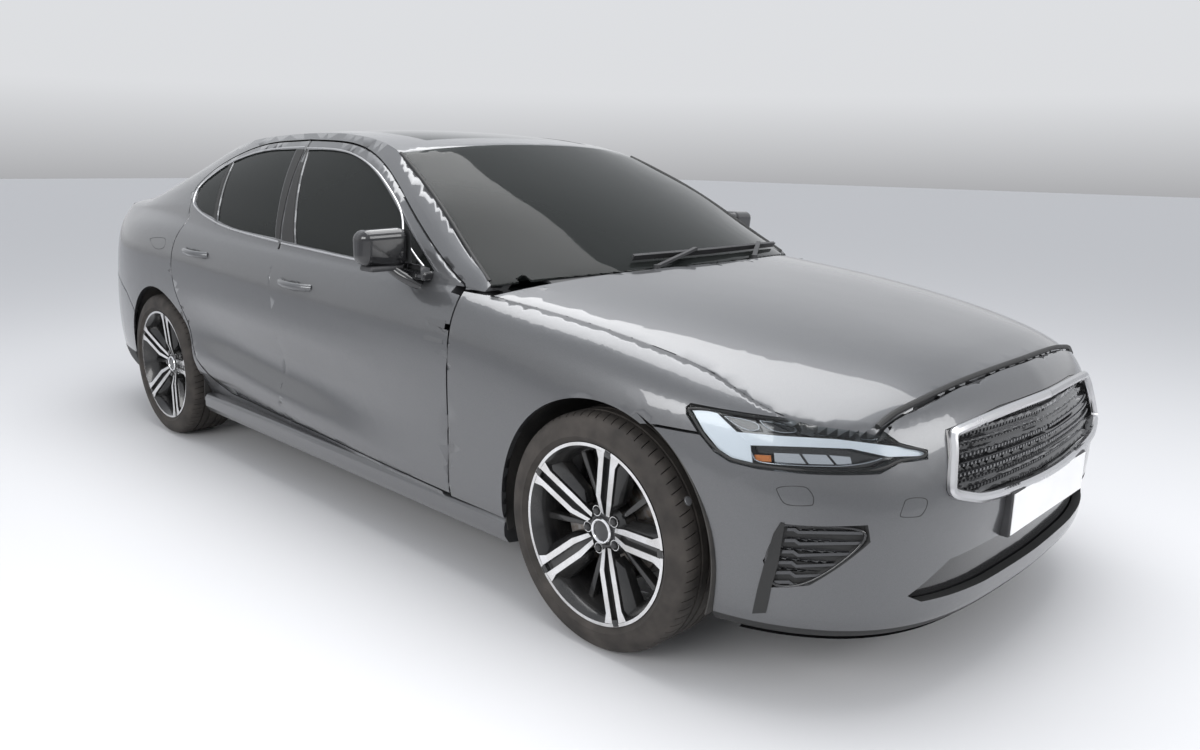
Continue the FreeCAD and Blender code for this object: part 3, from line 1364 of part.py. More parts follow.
def revolved(body, corners):
    """Corners are (distance from the axle, distance along it); the axle is the sketch's upright axis."""
    sketch = closed_sketch(body, corners)
    turned = doc.addObject("PartDesign::Revolution", body.Name + "_turned")
    body.addObject(turned)
    turned.Profile = sketch
    turned.ReferenceAxis = (sketch, ["V_Axis"])
    turned.Angle = 360
    return turned


TYRE = [
    ("bead_radius + seat_clearance", 96.5), ("lip_radius", 102.4), ("lip_radius + 2", 104.5),
    ("tyre_radius - 66", "tyre_width / 2"),
    ("tyre_radius - 36", "tyre_width / 2 - 1"), ("tyre_radius - 12", "tyre_width / 2 - 9"),
    ("tyre_radius - 2", "tyre_width / 2 - 24"), ("tyre_radius", 60),
]
TYRE_INSIDE = [
    ("tyre_radius - 18", 60), ("tyre_radius - 22", "tyre_width / 2 - 30"), ("tyre_radius - 60", "tyre_width / 2 - 15"),
    ("bead_radius + 18", 84), ("bead_radius + seat_clearance", 84),
]
RIM = [
    ("hub_bore + running_gap", -25), ("disc_radius", -25), ("disc_radius", 1), (76, 1), (76, 40), (60, 66),
    (0, 69), (0, 51), ("hub_bore + running_gap", 51),
]
BARREL = [
    ("lip_radius", 109), ("lip_radius", 103), ("bead_radius", 97), (238, 80), (222, 40), (222, -60), (238, -80),
    ("bead_radius", -97), ("lip_radius - 3", -102.5), ("lip_radius - 3", -109), (246, -109), (233, -102), (230, -87),
    (214, -58), (214, 40), (228, 84), (240, 104), (246, 109),
]


def reflected(corners):
    return [(u, f"-({w})") for u, w in reversed(corners)]


def tyre(label):
    body = drawn_body(label)
    revolved(body, TYRE + reflected(TYRE) + reflected(TYRE_INSIDE) + TYRE_INSIDE)
    return body


SPOKE = [(58, 3), (104, 11), (226, 11), (226, 32), (104, 30), (58, 19)]
WEB = [(58, -6), (226, -14), (226, 14), (58, 6)]
SPOKE_FACE, SPOKE_DEPTH, SPOKES = 80, 34, 5
WEB_FACE, WEB_DEPTH, PAIR_ANGLE = 62, 14, 77


def turned_about(points, degrees):
    """Points of a flat outline turned about the wheel's axis."""
    cosine, sine = math.cos(math.radians(degrees)), math.sin(math.radians(degrees))
    return [(round(u * cosine - w * sine, 3), round(u * sine + w * cosine, 3)) for u, w in points]


def rim(label):
    body = drawn_body(label)
    revolved(body, RIM)
    other = [(out, -across) for out, across in SPOKE]
    pair = [turned_about(SPOKE, PAIR_ANGLE), turned_about(other, PAIR_ANGLE)]
    pad = doc.addObject("PartDesign::Pad", label + "_spokes")
    pad_sketch = closed_sketch(body, pair, "XZ_Plane", -SPOKE_FACE)
    body.addObject(pad)
    pad.Profile = pad_sketch
    pad.Length = SPOKE_DEPTH
    web_sketch = closed_sketch(body, [turned_about(WEB, PAIR_ANGLE)], "XZ_Plane", -WEB_FACE)
    web = doc.addObject("PartDesign::Pad", label + "_web")
    body.addObject(web)
    web.Profile = web_sketch
    web.Length = WEB_DEPTH
    pattern = doc.addObject("PartDesign::PolarPattern", label + "_round")
    body.addObject(pattern)
    pattern.Originals = [pad, web]
    pattern.Axis = (origin_part(body, "Y_Axis"), [""])
    pattern.Angle = 360
    pattern.Occurrences = SPOKES
    revolved(body, BARREL)
    return body


def wheel_placement(thing, front, side):
    """Stand a wheel's part on its axle, its outer face outwards."""
    half_turn = "180" if side == RIGHT else "0"
    bind(thing, "Placement.Base.x", FRONT_AXLE if front else REAR_AXLE)
    bind(thing, "Placement.Base.y", f"{side} * {HALF_TRACK}")
    bind(thing, "Placement.Base.z", "tyre_radius")
    thing.Placement.Rotation = FreeCAD.Rotation(Vector(0, 0, 1), float(half_turn))


# The whole car

bonnet_ahead = bonnet_slab(panel_gap, BONNET_DEPTH + 7, 8)
bonnet_ahead.translate(Vector(6, 0, 0))
bonnet_room = [bonnet_slab(1.5, BONNET_DEPTH + 7, 8), bonnet_ahead]
lid_rooms = [top_block(LID_ROOM, 600, 1300), mirrored(top_block(LID_ROOM, 600, 1300))]
bonnet_arm = board([(994, 899), (1004, 897), (1120, 928), (1120, 943), (1100, 943), (994, 912)], 690.3, 704.3)
bonnet_foot = box(990, 1112, 600, 676, 893, 903)
bonnet_half, cowl_half = lid_hinge_halves(BONNET_HINGE, 690)
lid_arm = box(-1830, -1797, 560.3, 574.3, 1092, 1104)
shelf_foot = board([(-1803, 1104), (-1791, 1104), (-1791, 1062), (-1750, 1062), (-1750, 1046), (-1803, 1046)], 546, 560)
lid_half, shelf_half = lid_hinge_halves(LID_HINGE, 560)

side_cutters = lid_rooms + [lamp_block(TAIL_LAMP, fixed_gap)]
add_pair("body_side", body_side().cut(side_cutters))
add_pair("front_wing", front_wing().cut(bonnet_room))
lamp = headlamp().cut(bonnet_room)
add("headlamps", both(lamp))
rear_lamp = tail_lamp().cut(lid_rooms)
add("tail_lamps", both(rear_lamp))
add("front_bumper", front_bumper().cut(bonnet_room[0]))
add("rear_bumper", rear_bumper())
add("grille", grille())
add("bumper_trim", bumper_trim())
bonnet = bonnet_slab(panel_gap, BONNET_DEPTH)
add("bonnet", bonnet.fuse([bonnet_arm, mirrored(bonnet_arm), bonnet_half, mirrored(bonnet_half)]))
lid_top, lid_back = lid_slab(panel_gap + 0.5, 30, 0)
lid_edge = top_block(LID_EDGE, 600, 1300)
lid_edge = lid_edge.fuse(mirrored(lid_edge))
lid = lid_top.common(lid_edge).fuse(lid_back.common(lid_edge))
add("boot_lid", lid.fuse([lid_arm, mirrored(lid_arm), lid_half, mirrored(lid_half)]))

roof = roof_rows()
opening = top_block(ROOF_OPENING, 1200, 1600)
pane_room = top_block([(149.4, 429.4), (-749.4, 429.4), (-749.4, -429.4), (149.4, -429.4)], 1200, 1600)
add("roof_panel", slab(roof, shifted(roof, 30)).cut(opening))
add("roof_glass", slab(shifted(roof, 1), shifted(roof, 9)).common(pane_room))
screen = screen_rows()
# Corners that the bonnet's hinge arms swing past
arm_room = Part.makeBox(60, 34, 40, Vector(along(1000), 683, up(930)))
add("windscreen", slab(screen, shifted(screen, 7)).cut([arm_room, mirrored(arm_room)]))
rear_window = rear_window_rows()
add("rear_window", slab(rear_window, shifted(rear_window, 7)))
cowl_feet = [bonnet_foot, mirrored(bonnet_foot), cowl_half, mirrored(cowl_half)]
add("cowl_panel", cowl_panel().fuse(cowl_feet))
sweepers = wipers()
add("wipers", sweepers[0].fuse(sweepers[1:]).cut(nodes["cowl_panel"].Shape))

add("floor_pan", floor_pan().cut(nodes["rear_bumper"].Shape))
front_seats = seat(380), mirrored(seat(380))
add("seats", front_seats[0].fuse([front_seats[1], rear_seat()]))
add("dashboard", dashboard())
shelf_feet = [shelf_foot, mirrored(shelf_foot), shelf_half, mirrored(shelf_half)]
add("rear_shelf", rear_shelf().fuse(shelf_feet))
add("steering_wheel", steering_wheel())
engine = box(1250, 1790, -290, 290, 330, 790)
add("engine_block", engine)
tank = board([(-430, 200), (-430, 279.7), (-960, 297.1), (-960, 200)], 120, 520)
add("fuel_tank", tank.makeFillet(8, tank.Edges))
add("exhaust", exhaust())
ahead, behind = front_liner(), rear_liner()
add("wheel_liners", Part.makeCompound([ahead, mirrored(ahead), behind, mirrored(behind)]))
arms = front_suspension()
mounts = [box(1290, 1350, 250, 340, 255, 329.7), box(1690, 1750, 250, 340, 255, 329.7)]
mounts += [box(1200, 1260, 340, 450, 255, 329.7), box(1710, 1770, 340, 450, 255, 329.7)]
mounts += [mirrored(mount) for mount in mounts]
add("front_subframe", subframe(1200, 1780, 380, 190, 260).fuse([arms, mirrored(arms)] + mounts))
trailing = rear_suspension()
add("rear_subframe", subframe(-1560, -1180, 400, 230, 290).fuse([trailing, mirrored(trailing)]))
add_pair("knuckle", knuckle())
for front in (True, False):
    for side in (RIGHT, LEFT):
        where = ("front" if front else "rear") + ("_right" if side == RIGHT else "_left")
        for name, made in (("rim_" + where, rim), ("tyre_" + where, tyre)):
            thing = made(name)
            wheel_placement(thing, front, side)
            nodes[name] = thing

doc.recompute()
faults = []
for thing in doc.Objects:
    if "Invalid" in thing.State or "Error" in thing.State:
        faults.append(thing.Name)
for name, thing in nodes.items():
    if thing.Shape.isNull() or not thing.Shape.isValid():
        faults.append(name)
if faults:
    raise RuntimeError("these are not sound: " + ", ".join(faults))
os.makedirs("parts", exist_ok=True)
for name, thing in nodes.items():
    thing.Shape.exportStep(f"parts/{name}.step")
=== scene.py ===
"""The looks of a four-door sedan car: paint, glass, lamps, wheels, trim and cabin around its packed panels."""
import json
import math

import bpy
from bpy.props import FloatProperty, FloatVectorProperty, IntProperty, PointerProperty
from mathutils import Matrix, Vector
from mathutils.bvhtree import BVHTree

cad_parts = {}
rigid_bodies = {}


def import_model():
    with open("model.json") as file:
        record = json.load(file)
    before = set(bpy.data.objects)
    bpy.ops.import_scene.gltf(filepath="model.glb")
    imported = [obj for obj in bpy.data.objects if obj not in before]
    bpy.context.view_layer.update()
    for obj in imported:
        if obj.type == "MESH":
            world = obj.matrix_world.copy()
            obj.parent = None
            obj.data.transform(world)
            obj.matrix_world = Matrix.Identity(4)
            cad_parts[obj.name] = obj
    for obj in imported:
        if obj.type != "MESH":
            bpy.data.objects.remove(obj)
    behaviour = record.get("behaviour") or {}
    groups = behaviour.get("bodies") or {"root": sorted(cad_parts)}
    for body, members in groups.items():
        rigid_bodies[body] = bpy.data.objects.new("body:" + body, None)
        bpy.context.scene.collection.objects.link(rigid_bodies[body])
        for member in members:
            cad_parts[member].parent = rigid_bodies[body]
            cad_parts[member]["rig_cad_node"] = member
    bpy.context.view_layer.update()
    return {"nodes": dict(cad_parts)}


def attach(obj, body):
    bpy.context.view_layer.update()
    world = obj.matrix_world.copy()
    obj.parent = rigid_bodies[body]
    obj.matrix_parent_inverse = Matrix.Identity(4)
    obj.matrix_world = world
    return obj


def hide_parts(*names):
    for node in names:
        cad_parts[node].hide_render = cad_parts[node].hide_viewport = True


bl_info = {
    "name": "Sedan Car Dresser",
    "version": (1, 0, 0),
    "blender": (4, 5, 0),
    "location": "View3D > Sidebar > Sedan Car",
    "description": "Dresses the packed panels of a sedan car with paint, glass, lamps, wheels, trim and a cabin",
    "category": "Object",
}

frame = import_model()
SIDES = {"right": -1, "left": 1}


# Sizes and colours that a user would change

def colour_field(name, description, default):
    """A colour for the panel in the sidebar."""
    return FloatVectorProperty(
        name=name, description=description, subtype="COLOR", size=3, default=default, min=0, max=1)


class PaintSettings(bpy.types.PropertyGroup):
    """The body's paint"""
    colour: colour_field("Paint", "Base colour of the metallic paint", (0.115, 0.117, 0.122))
    flake: FloatProperty(
        name="Flake", description="How much the metal flakes change the colour", default=0.12, min=0, max=1)
    roughness: FloatProperty(
        name="Roughness", description="Roughness of the flake layer below the clear coat", default=0.34, min=0, max=1)


class TrimSettings(bpy.types.PropertyGroup):
    """Bright and black trim"""
    satin: colour_field("Satin metal", "Colour of the grille surround and window strips", (0.62, 0.62, 0.63))
    black: colour_field("Gloss black", "Colour of the mirrors and the black trim in front", (0.012, 0.012, 0.013))
    plastic: colour_field("Grained plastic", "Colour of the unpainted plastic", (0.03, 0.03, 0.032))


class GlassSettings(bpy.types.PropertyGroup):
    """Window glass"""
    tint: colour_field("Tint", "Colour of the light that comes through the glass", (0.30, 0.33, 0.32))
    clear: FloatProperty(
        name="Clear share", description="How much of the glass lets light through", default=0.72, min=0, max=1)


class WheelSettings(bpy.types.PropertyGroup):
    """Tyres and rims"""
    spokes: IntProperty(name="Spoke pairs", description="Pairs of spokes round each rim", default=5, min=3, max=12)
    tread_blocks: IntProperty(
        name="Tread blocks", description="Grooves across each shoulder of the tyre", default=72, min=24, max=180)
    rubber: colour_field("Rubber", "Colour of the tyre, dusty from the road", (0.028, 0.024, 0.021))


class StageSettings(bpy.types.PropertyGroup):
    """Camera, floor and light"""
    camera_place: FloatVectorProperty(
        name="Camera", description="Where the photograph was taken from", subtype="XYZ", unit="LENGTH", size=3,
        default=(3.210, -2.615, 1.330))
    yaw: FloatProperty(name="Yaw", description="The camera's heading from +X", default=2.3413)
    pitch: FloatProperty(name="Pitch", description="The camera's tilt, downwards negative", default=-0.2265)
    roll: FloatProperty(name="Roll", description="The camera's roll", default=0.0155)
    focal: FloatProperty(name="Focal length", description="In millimetres on a 36 mm sensor", default=28.38)
    floor: colour_field("Floor", "Colour of the studio floor", (0.62, 0.62, 0.63))


def car():
    """The scene's settings for this car."""
    return bpy.context.scene


# Modelling helpers

# Corners nearer to each other than this are merged: in flat plates, in turned rings, in a CAD node's triangles
PLATE_MERGE, RING_MERGE, NODE_MERGE = 0.00002, 0.00005, 0.0008


def only(*pieces):
    """Select these pieces and nothing else, the first one active."""
    if bpy.context.object and bpy.context.object.mode != "OBJECT":
        bpy.ops.object.mode_set(mode="OBJECT")
    bpy.ops.object.select_all(action="DESELECT")
    for piece in pieces:
        piece.select_set(True)
    bpy.context.view_layer.objects.active = pieces[0]


def edit(piece, kind="FACE"):
    """Open a piece for editing with nothing selected."""
    only(piece)
    bpy.ops.object.mode_set(mode="EDIT")
    bpy.ops.mesh.select_mode(type=kind)
    bpy.ops.mesh.select_all(action="DESELECT")


def done():
    bpy.ops.object.mode_set(mode="OBJECT")


def pick_faces(piece, wanted):
    """Select the faces whose centre and normal pass the test, and open the piece for editing."""
    edit(piece)
    done()
    for face in piece.data.polygons:
        face.select = bool(wanted(face.center, face.normal))
    bpy.ops.object.mode_set(mode="EDIT")


def apply_all(piece):
    """Apply a piece's modifiers in order, and its place."""
    only(piece)
    for modifier in list(piece.modifiers):
        bpy.ops.object.modifier_apply(modifier=modifier.name)
    bpy.ops.object.transform_apply(location=True, rotation=True, scale=True)


def smooth(piece, degrees=35):
    only(piece)
    bpy.ops.object.shade_smooth_by_angle(angle=math.radians(degrees))


def evened(piece, degrees=28):
    """Smooth a tessellated piece by its large faces, so that its slivers don't show."""
    smooth(piece, degrees)
    even = piece.modifiers.new("Evened", "WEIGHTED_NORMAL")
    even.mode = "FACE_AREA"
    even.weight = 90
    even.keep_sharp = True
    apply_all(piece)


def rounded(piece, width, segments=2, degrees=40):
    """Round a piece's edges."""
    bevel = piece.modifiers.new("Rounded", "BEVEL")
    bevel.width = width
    bevel.segments = segments
    bevel.limit_method = "ANGLE"
    bevel.angle_limit = math.radians(degrees)
    apply_all(piece)


def tidy(piece):
    """Merge doubles and turn the faces outwards."""
    edit(piece)
    bpy.ops.mesh.select_all(action="SELECT")
    bpy.ops.mesh.remove_doubles(threshold=PLATE_MERGE)
    bpy.ops.mesh.normals_make_consistent(inside=False)
    done()


def painted(piece, *names):
    """Give a piece its finishes by name, the first one all over."""
    piece.data.materials.clear()
    for name in names:
        piece.data.materials.append(finishes[name])
    return piece


def placed(piece, body, replaces=()):
    """Let a finished piece ride on its body."""
    apply_all(piece)
    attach(piece, body)
    if replaces:
        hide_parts(*replaces)
    return piece


def joined(name, pieces):
    """Several pieces as one."""
    only(*pieces)
    if len(pieces) > 1:
        bpy.ops.object.join()
    made = bpy.context.object
    made.name = name
    return made


def block(name, low, high):
    """A box between two corners."""
    low, high = Vector(low), Vector(high)
    bpy.ops.object.select_all(action="DESELECT")
    bpy.ops.mesh.primitive_cube_add(size=1, location=(low + high) / 2)
    made = bpy.context.object
    made.name = name
    made.scale = high - low
    bpy.ops.object.transform_apply(location=True, rotation=True, scale=True)
    return made


def soft_block(name, corners, radius, segments=2):
    """A box between two corners with its edges rounded."""
    made = block(name, *corners)
    rounded(made, radius, segments)
    return made


def cut_line(piece, spot, normal):
    """Cut new edges into a piece where a plane passes."""
    edit(piece)
    bpy.ops.mesh.select_all(action="SELECT")
    bpy.ops.mesh.bisect(plane_co=spot, plane_no=normal)
    done()


def plate(name, outline, push):
    """A flat outline in space, given its thickness by pushing it along a vector."""
    bpy.ops.object.select_all(action="DESELECT")
    bpy.ops.mesh.primitive_circle_add(vertices=len(outline), fill_type="NGON")
    made = bpy.context.object
    made.name = name
    for corner, point in zip(made.data.vertices, outline):
        corner.co = Vector(point)
    edit(made)
    bpy.ops.mesh.select_all(action="SELECT")
    bpy.ops.mesh.extrude_region_move(TRANSFORM_OT_translate={"value": Vector(push)})
    done()
    tidy(made)
    return made


def face_only(name, outline, push):
    """A flat outline's own face, open at its edge."""
    made = plate(name, outline, push)
    pick_faces(made, lambda centre, normal: centre.dot(Vector(push)) > 0.01)
    bpy.ops.mesh.delete(type="FACE")
    done()
    return made


def thickened(piece, thickness):
    """Turn an open face into a thin skin."""
    tidy(piece)
    solid = piece.modifiers.new("Thick", "SOLIDIFY")
    solid.thickness = thickness
    solid.offset = 0
    apply_all(piece)
    smooth(piece, 40)
    return piece


def turned(name, profile, centre, steps=96):
    """A closed profile of (radius, along) turned about an axle across the car through centre."""
    bpy.ops.object.select_all(action="DESELECT")
    bpy.ops.mesh.primitive_circle_add(vertices=len(profile), fill_type="NOTHING", location=(0, 0, 0))
    made = bpy.context.object
    made.name = name
    for corner, (radius, along) in zip(made.data.vertices, profile):
        corner.co = Vector(centre) + Vector((0, along, radius))
    edit(made, "VERT")
    bpy.ops.mesh.select_all(action="SELECT")
    bpy.ops.mesh.spin(steps=steps, angle=2 * math.pi, center=centre, axis=(0, 1, 0))
    bpy.ops.mesh.select_all(action="SELECT")
    bpy.ops.mesh.remove_doubles(threshold=RING_MERGE)
    bpy.ops.mesh.normals_make_consistent(inside=False)
    done()
    return made


def rod(name, points, radius):
    """A round rod along points, closed at its ends."""
    bpy.ops.object.select_all(action="DESELECT")
    bpy.ops.curve.primitive_nurbs_path_add()
    made = bpy.context.object
    made.name = name
    curve = made.data
    curve.splines.clear()
    line = curve.splines.new("NURBS")
    line.points.add(len(points) - 1)
    for knot, point in zip(line.points, points):
        knot.co = (*point, 1.0)
    line.order_u = 3
    line.use_endpoint_u = True
    line.resolution_u = 6
    curve.bevel_depth = radius
    curve.bevel_resolution = 2
    curve.use_fill_caps = True
    bpy.ops.object.convert(target="MESH")
    made = bpy.context.object
    apply_all(made)
    return made


def copied(piece, name, turn):
    """A copy of a piece with its own mesh, moved by a matrix."""
    only(piece)
    bpy.ops.object.duplicate()
    made = bpy.context.object
    made.name = name
    made.data.transform(turn)
    if turn.determinant() < 0:
        made.data.flip_normals()
    return made


ACROSS = Matrix.Scale(-1, 4, (0, 1, 0))


def node_copy(node, name):
    """A copy of a CAD node's mesh as a piece of its own, its loose triangles merged."""
    source = frame["nodes"][node]
    only(source)
    bpy.ops.object.duplicate()
    made = bpy.context.object
    made.name = name
    del made["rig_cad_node"]
    made.parent = None
    edit(made)
    bpy.ops.mesh.select_all(action="SELECT")
    bpy.ops.mesh.remove_doubles(threshold=NODE_MERGE)
    done()
    return made


def dressed(node, name, finish, body):
    """A smooth, finished copy of a CAD node in its place."""
    made = painted(node_copy(node, name), finish)
    evened(made)
    return placed(made, body, [node])


surfaces = {}


def shape_of(nodes, corners=(), faces=()):
    """A shape that rays can meet: the nodes' meshes and any further faces."""
    corners, faces = list(corners), list(faces)
    for node in nodes:
        mesh = frame["nodes"][node].data
        first = len(corners)
        corners += [v.co.copy() for v in mesh.vertices]
        faces += [[first + i for i in face.vertices] for face in mesh.polygons]
    return BVHTree.FromPolygons(corners, faces)


def surface_of(*nodes):
    """The nodes' shape, made once and kept."""
    if nodes not in surfaces:
        surfaces[nodes] = shape_of(nodes)
    return surfaces[nodes]


def met(shape, origin, way, aside=None):
    """Where a ray first meets a shape, or the shape's nearest point to a spot beside the ray."""
    spot = shape.ray_cast(Vector(origin), Vector(way).normalized())[0]
    if spot is None and aside:
        spot = shape.find_nearest(Vector(aside))[0]
    if spot is None:
        raise RuntimeError(f"no surface at {tuple(origin)} along {tuple(way)}")
    return spot


# Finishes

finishes = {}


def plain(name, colour, roughness, metallic=0.0, **sockets):
    """A material with these values on its shader's own sockets."""
    material = bpy.data.materials.new(name)
    material.use_nodes = True
    shader = material.node_tree.nodes["Principled BSDF"]
    shader.inputs["Base Color"].default_value = (*colour, 1)
    shader.inputs["Roughness"].default_value = roughness
    shader.inputs["Metallic"].default_value = metallic
    for socket, value in sockets.items():
        shader.inputs[socket.replace("_", " ")].default_value = value
    finishes[name] = material
    return material


def add_node(material, kind, place=(-600, 0), **settings):
    made = material.node_tree.nodes.new(kind)
    made.location = place
    for key, value in settings.items():
        setattr(made, key, value)
    return made


def grain(material, scale, detail=4.0, kind="ShaderNodeTexNoise", place=(-900, 0), **inputs):
    """A texture in the object's own coordinates; returns its value output."""
    where = add_node(material, "ShaderNodeTexCoord", (place[0] - 250, place[1]))
    texture = add_node(material, kind, place)
    texture.inputs["Scale"].default_value = scale
    if kind == "ShaderNodeTexNoise":
        texture.inputs["Detail"].default_value = detail
    for key, value in inputs.items():
        texture.inputs[key].default_value = value
    material.node_tree.links.new(where.outputs["Object"], texture.inputs["Vector"])
    return texture.outputs["Fac"] if kind == "ShaderNodeTexNoise" else texture.outputs["Distance"]


def vary_colour(material, value, dark, light, low=0.35, high=0.65):
    """Colour between two shades by a texture's value."""
    ramp = add_node(material, "ShaderNodeValToRGB", (-450, 200))
    ramp.color_ramp.elements[0].position = low
    ramp.color_ramp.elements[0].color = (*dark, 1)
    ramp.color_ramp.elements[1].position = high
    ramp.color_ramp.elements[1].color = (*light, 1)
    links = material.node_tree.links
    links.new(value, ramp.inputs["Fac"])
    links.new(ramp.outputs["Color"], material.node_tree.nodes["Principled BSDF"].inputs["Base Color"])
    return ramp


def vary_roughness(material, value, low, high):
    spread = add_node(material, "ShaderNodeMapRange", (-450, -100))
    spread.inputs["To Min"].default_value = low
    spread.inputs["To Max"].default_value = high
    links = material.node_tree.links
    links.new(value, spread.inputs["Value"])
    links.new(spread.outputs["Result"], material.node_tree.nodes["Principled BSDF"].inputs["Roughness"])


def bumped(material, value, distance, strength=0.5):
    bump = add_node(material, "ShaderNodeBump", (-250, -350))
    bump.inputs["Strength"].default_value = strength
    bump.inputs["Distance"].default_value = distance
    links = material.node_tree.links
    links.new(value, bump.inputs["Height"])
    links.new(bump.outputs["Normal"], material.node_tree.nodes["Principled BSDF"].inputs["Normal"])


def shade(colour, factor):
    return tuple(min(1.0, c * factor) for c in colour)


def body_paints():
    """The metallic paint outside, and a thinner, duller one for the doorways and the faces turned in or down,
    darkened as painted shade.
    """
    settings = car().car_paint
    colour, flake, rough = tuple(settings.colour), settings.flake, settings.roughness
    material = plain("metallic_paint", colour, rough, 0.72, Coat_Weight=1.0, Coat_Roughness=0.03, Coat_IOR=1.5)
    vary_colour(material, grain(material, 900, 2), shade(colour, 1 - flake), shade(colour, 1 + flake))
    vary_roughness(material, grain(material, 6, 3, place=(-900, -300)), rough - 0.03, rough + 0.04)
    # A quarter darker than the outside paint: painted shade on every face that takes it
    colour = shade(colour, 0.75)
    mixed("shaded_paint", colour, 0.42, 0.5, tones=(500, 2, shade(colour, 0.9), shade(colour, 1.1)),
          Coat_Weight=0.3, Coat_Roughness=0.15)


def see_through(name, tint, clear, roughness=0.02, specular=1.45):
    """Glass for thin panes: it tints what is behind it and mirrors what is before it."""
    material = bpy.data.materials.new(name)
    material.use_nodes = True
    nodes, links = material.node_tree.nodes, material.node_tree.links
    shader = nodes["Principled BSDF"]
    shader.inputs["Base Color"].default_value = (*shade(tint, 0.12), 1)
    shader.inputs["Roughness"].default_value = roughness
    shader.inputs["IOR"].default_value = specular
    through = add_node(material, "ShaderNodeBsdfTransparent", (-200, -250))
    through.inputs["Color"].default_value = (*tint, 1)
    mix = add_node(material, "ShaderNodeMixShader", (200, 100))
    rim = add_node(material, "ShaderNodeFresnel", (-600, 300))
    rim.inputs["IOR"].default_value = specular
    share = add_node(material, "ShaderNodeMath", (-380, 300), operation="SUBTRACT")
    share.inputs[0].default_value = clear
    share.use_clamp = True
    dust = grain(material, 40, 6, place=(-900, 0))
    vary_roughness(material, dust, roughness, roughness + 0.03)
    output = nodes["Material Output"]
    links.new(rim.outputs["Fac"], share.inputs[1])
    links.new(share.outputs["Value"], mix.inputs["Fac"])
    links.new(shader.outputs["BSDF"], mix.inputs[1])
    links.new(through.outputs["BSDF"], mix.inputs[2])
    links.new(mix.outputs["Shader"], output.inputs["Surface"])
    finishes[name] = material
    return material


def mixed(name, colour, roughness, metallic=0.0, tones=None, gloss=None, relief=None, **sockets):
    """A finish varied by textures: tones is (scale, detail, dark, light), gloss and relief start likewise."""
    material = plain(name, colour, roughness, metallic, **sockets)
    if tones:
        scale, detail, dark, light, *reach = tones
        vary_colour(material, grain(material, scale, detail, place=(-900, 300)), dark, light, *reach)
    if gloss:
        scale, detail, low, high = gloss
        vary_roughness(material, grain(material, scale, detail), low, high)
    if relief:
        scale, detail, distance, strength, *kind = relief
        bumped(material, grain(material, scale, detail, *kind), distance, strength)
    return material


def glowing(material, colour):
    """Give a finish its own faint light of a colour."""
    material.node_tree.nodes["Principled BSDF"].inputs["Emission Color"].default_value = (*colour, 1)


def trim_finishes():
    """Black and bright trim, rubber and plate."""
    settings = car().car_trim
    plastic = tuple(settings.plastic)
    mixed("gloss_black", tuple(settings.black), 0.12, gloss=(14, 3, 0.08, 0.18), Coat_Weight=0.6, Coat_Roughness=0.03)
    mixed("slat_edge", (0.055, 0.056, 0.060), 0.28, 0.3, gloss=(40, 3, 0.22, 0.36), Coat_Weight=0.4)
    mixed("grained_plastic", plastic, 0.55, tones=(9, 4, shade(plastic, 0.75), shade(plastic, 1.4)),
          relief=(900, 3, 0.0006, 0.4))
    mixed("mirror_silver", (0.82, 0.84, 0.86), 0.03, 1.0, gloss=(20, 3, 0.02, 0.05))
    mixed("satin_metal", tuple(settings.satin), 0.27, 1.0, gloss=(5, 3, 0.24, 0.32))
    mixed("bright_metal", (0.85, 0.85, 0.86), 0.09, 1.0, gloss=(30, 3, 0.06, 0.14))
    mixed("blank_plate", (0.86, 0.86, 0.86), 0.35, tones=(5, 4, (0.82, 0.82, 0.82), (0.90, 0.90, 0.90)),
          Coat_Weight=0.4)
    mixed("seal_rubber", (0.016, 0.016, 0.016), 0.6, relief=(300, 3, 0.0005, 0.3))


def lamp_finishes():
    """Inside the lamps: silver, light guides, marker and red cover."""
    mixed("lamp_silver", (0.55, 0.57, 0.60), 0.16, 1.0, gloss=(80, 3, 0.1, 0.22))
    glowing(mixed("lamp_light", (0.80, 0.86, 0.92), 0.22, gloss=(50, 3, 0.15, 0.3), Coat_Weight=0.6,
                  Emission_Strength=0.18), (0.82, 0.90, 1.0))
    glowing(mixed("lamp_glow", (0.75, 0.05, 0.04), 0.2, gloss=(60, 3, 0.15, 0.28), Coat_Weight=0.8,
                  Emission_Strength=0.15), (0.9, 0.05, 0.04))
    mixed("amber_marker", (0.75, 0.20, 0.02), 0.3, tones=(300, 2, (0.60, 0.14, 0.01), (0.85, 0.27, 0.03)),
          Coat_Weight=0.5)
    mixed("lamp_red", (0.42, 0.012, 0.012), 0.22, tones=(220, 2, (0.34, 0.008, 0.008), (0.50, 0.02, 0.018)),
          Coat_Weight=0.8, Coat_Roughness=0.03)


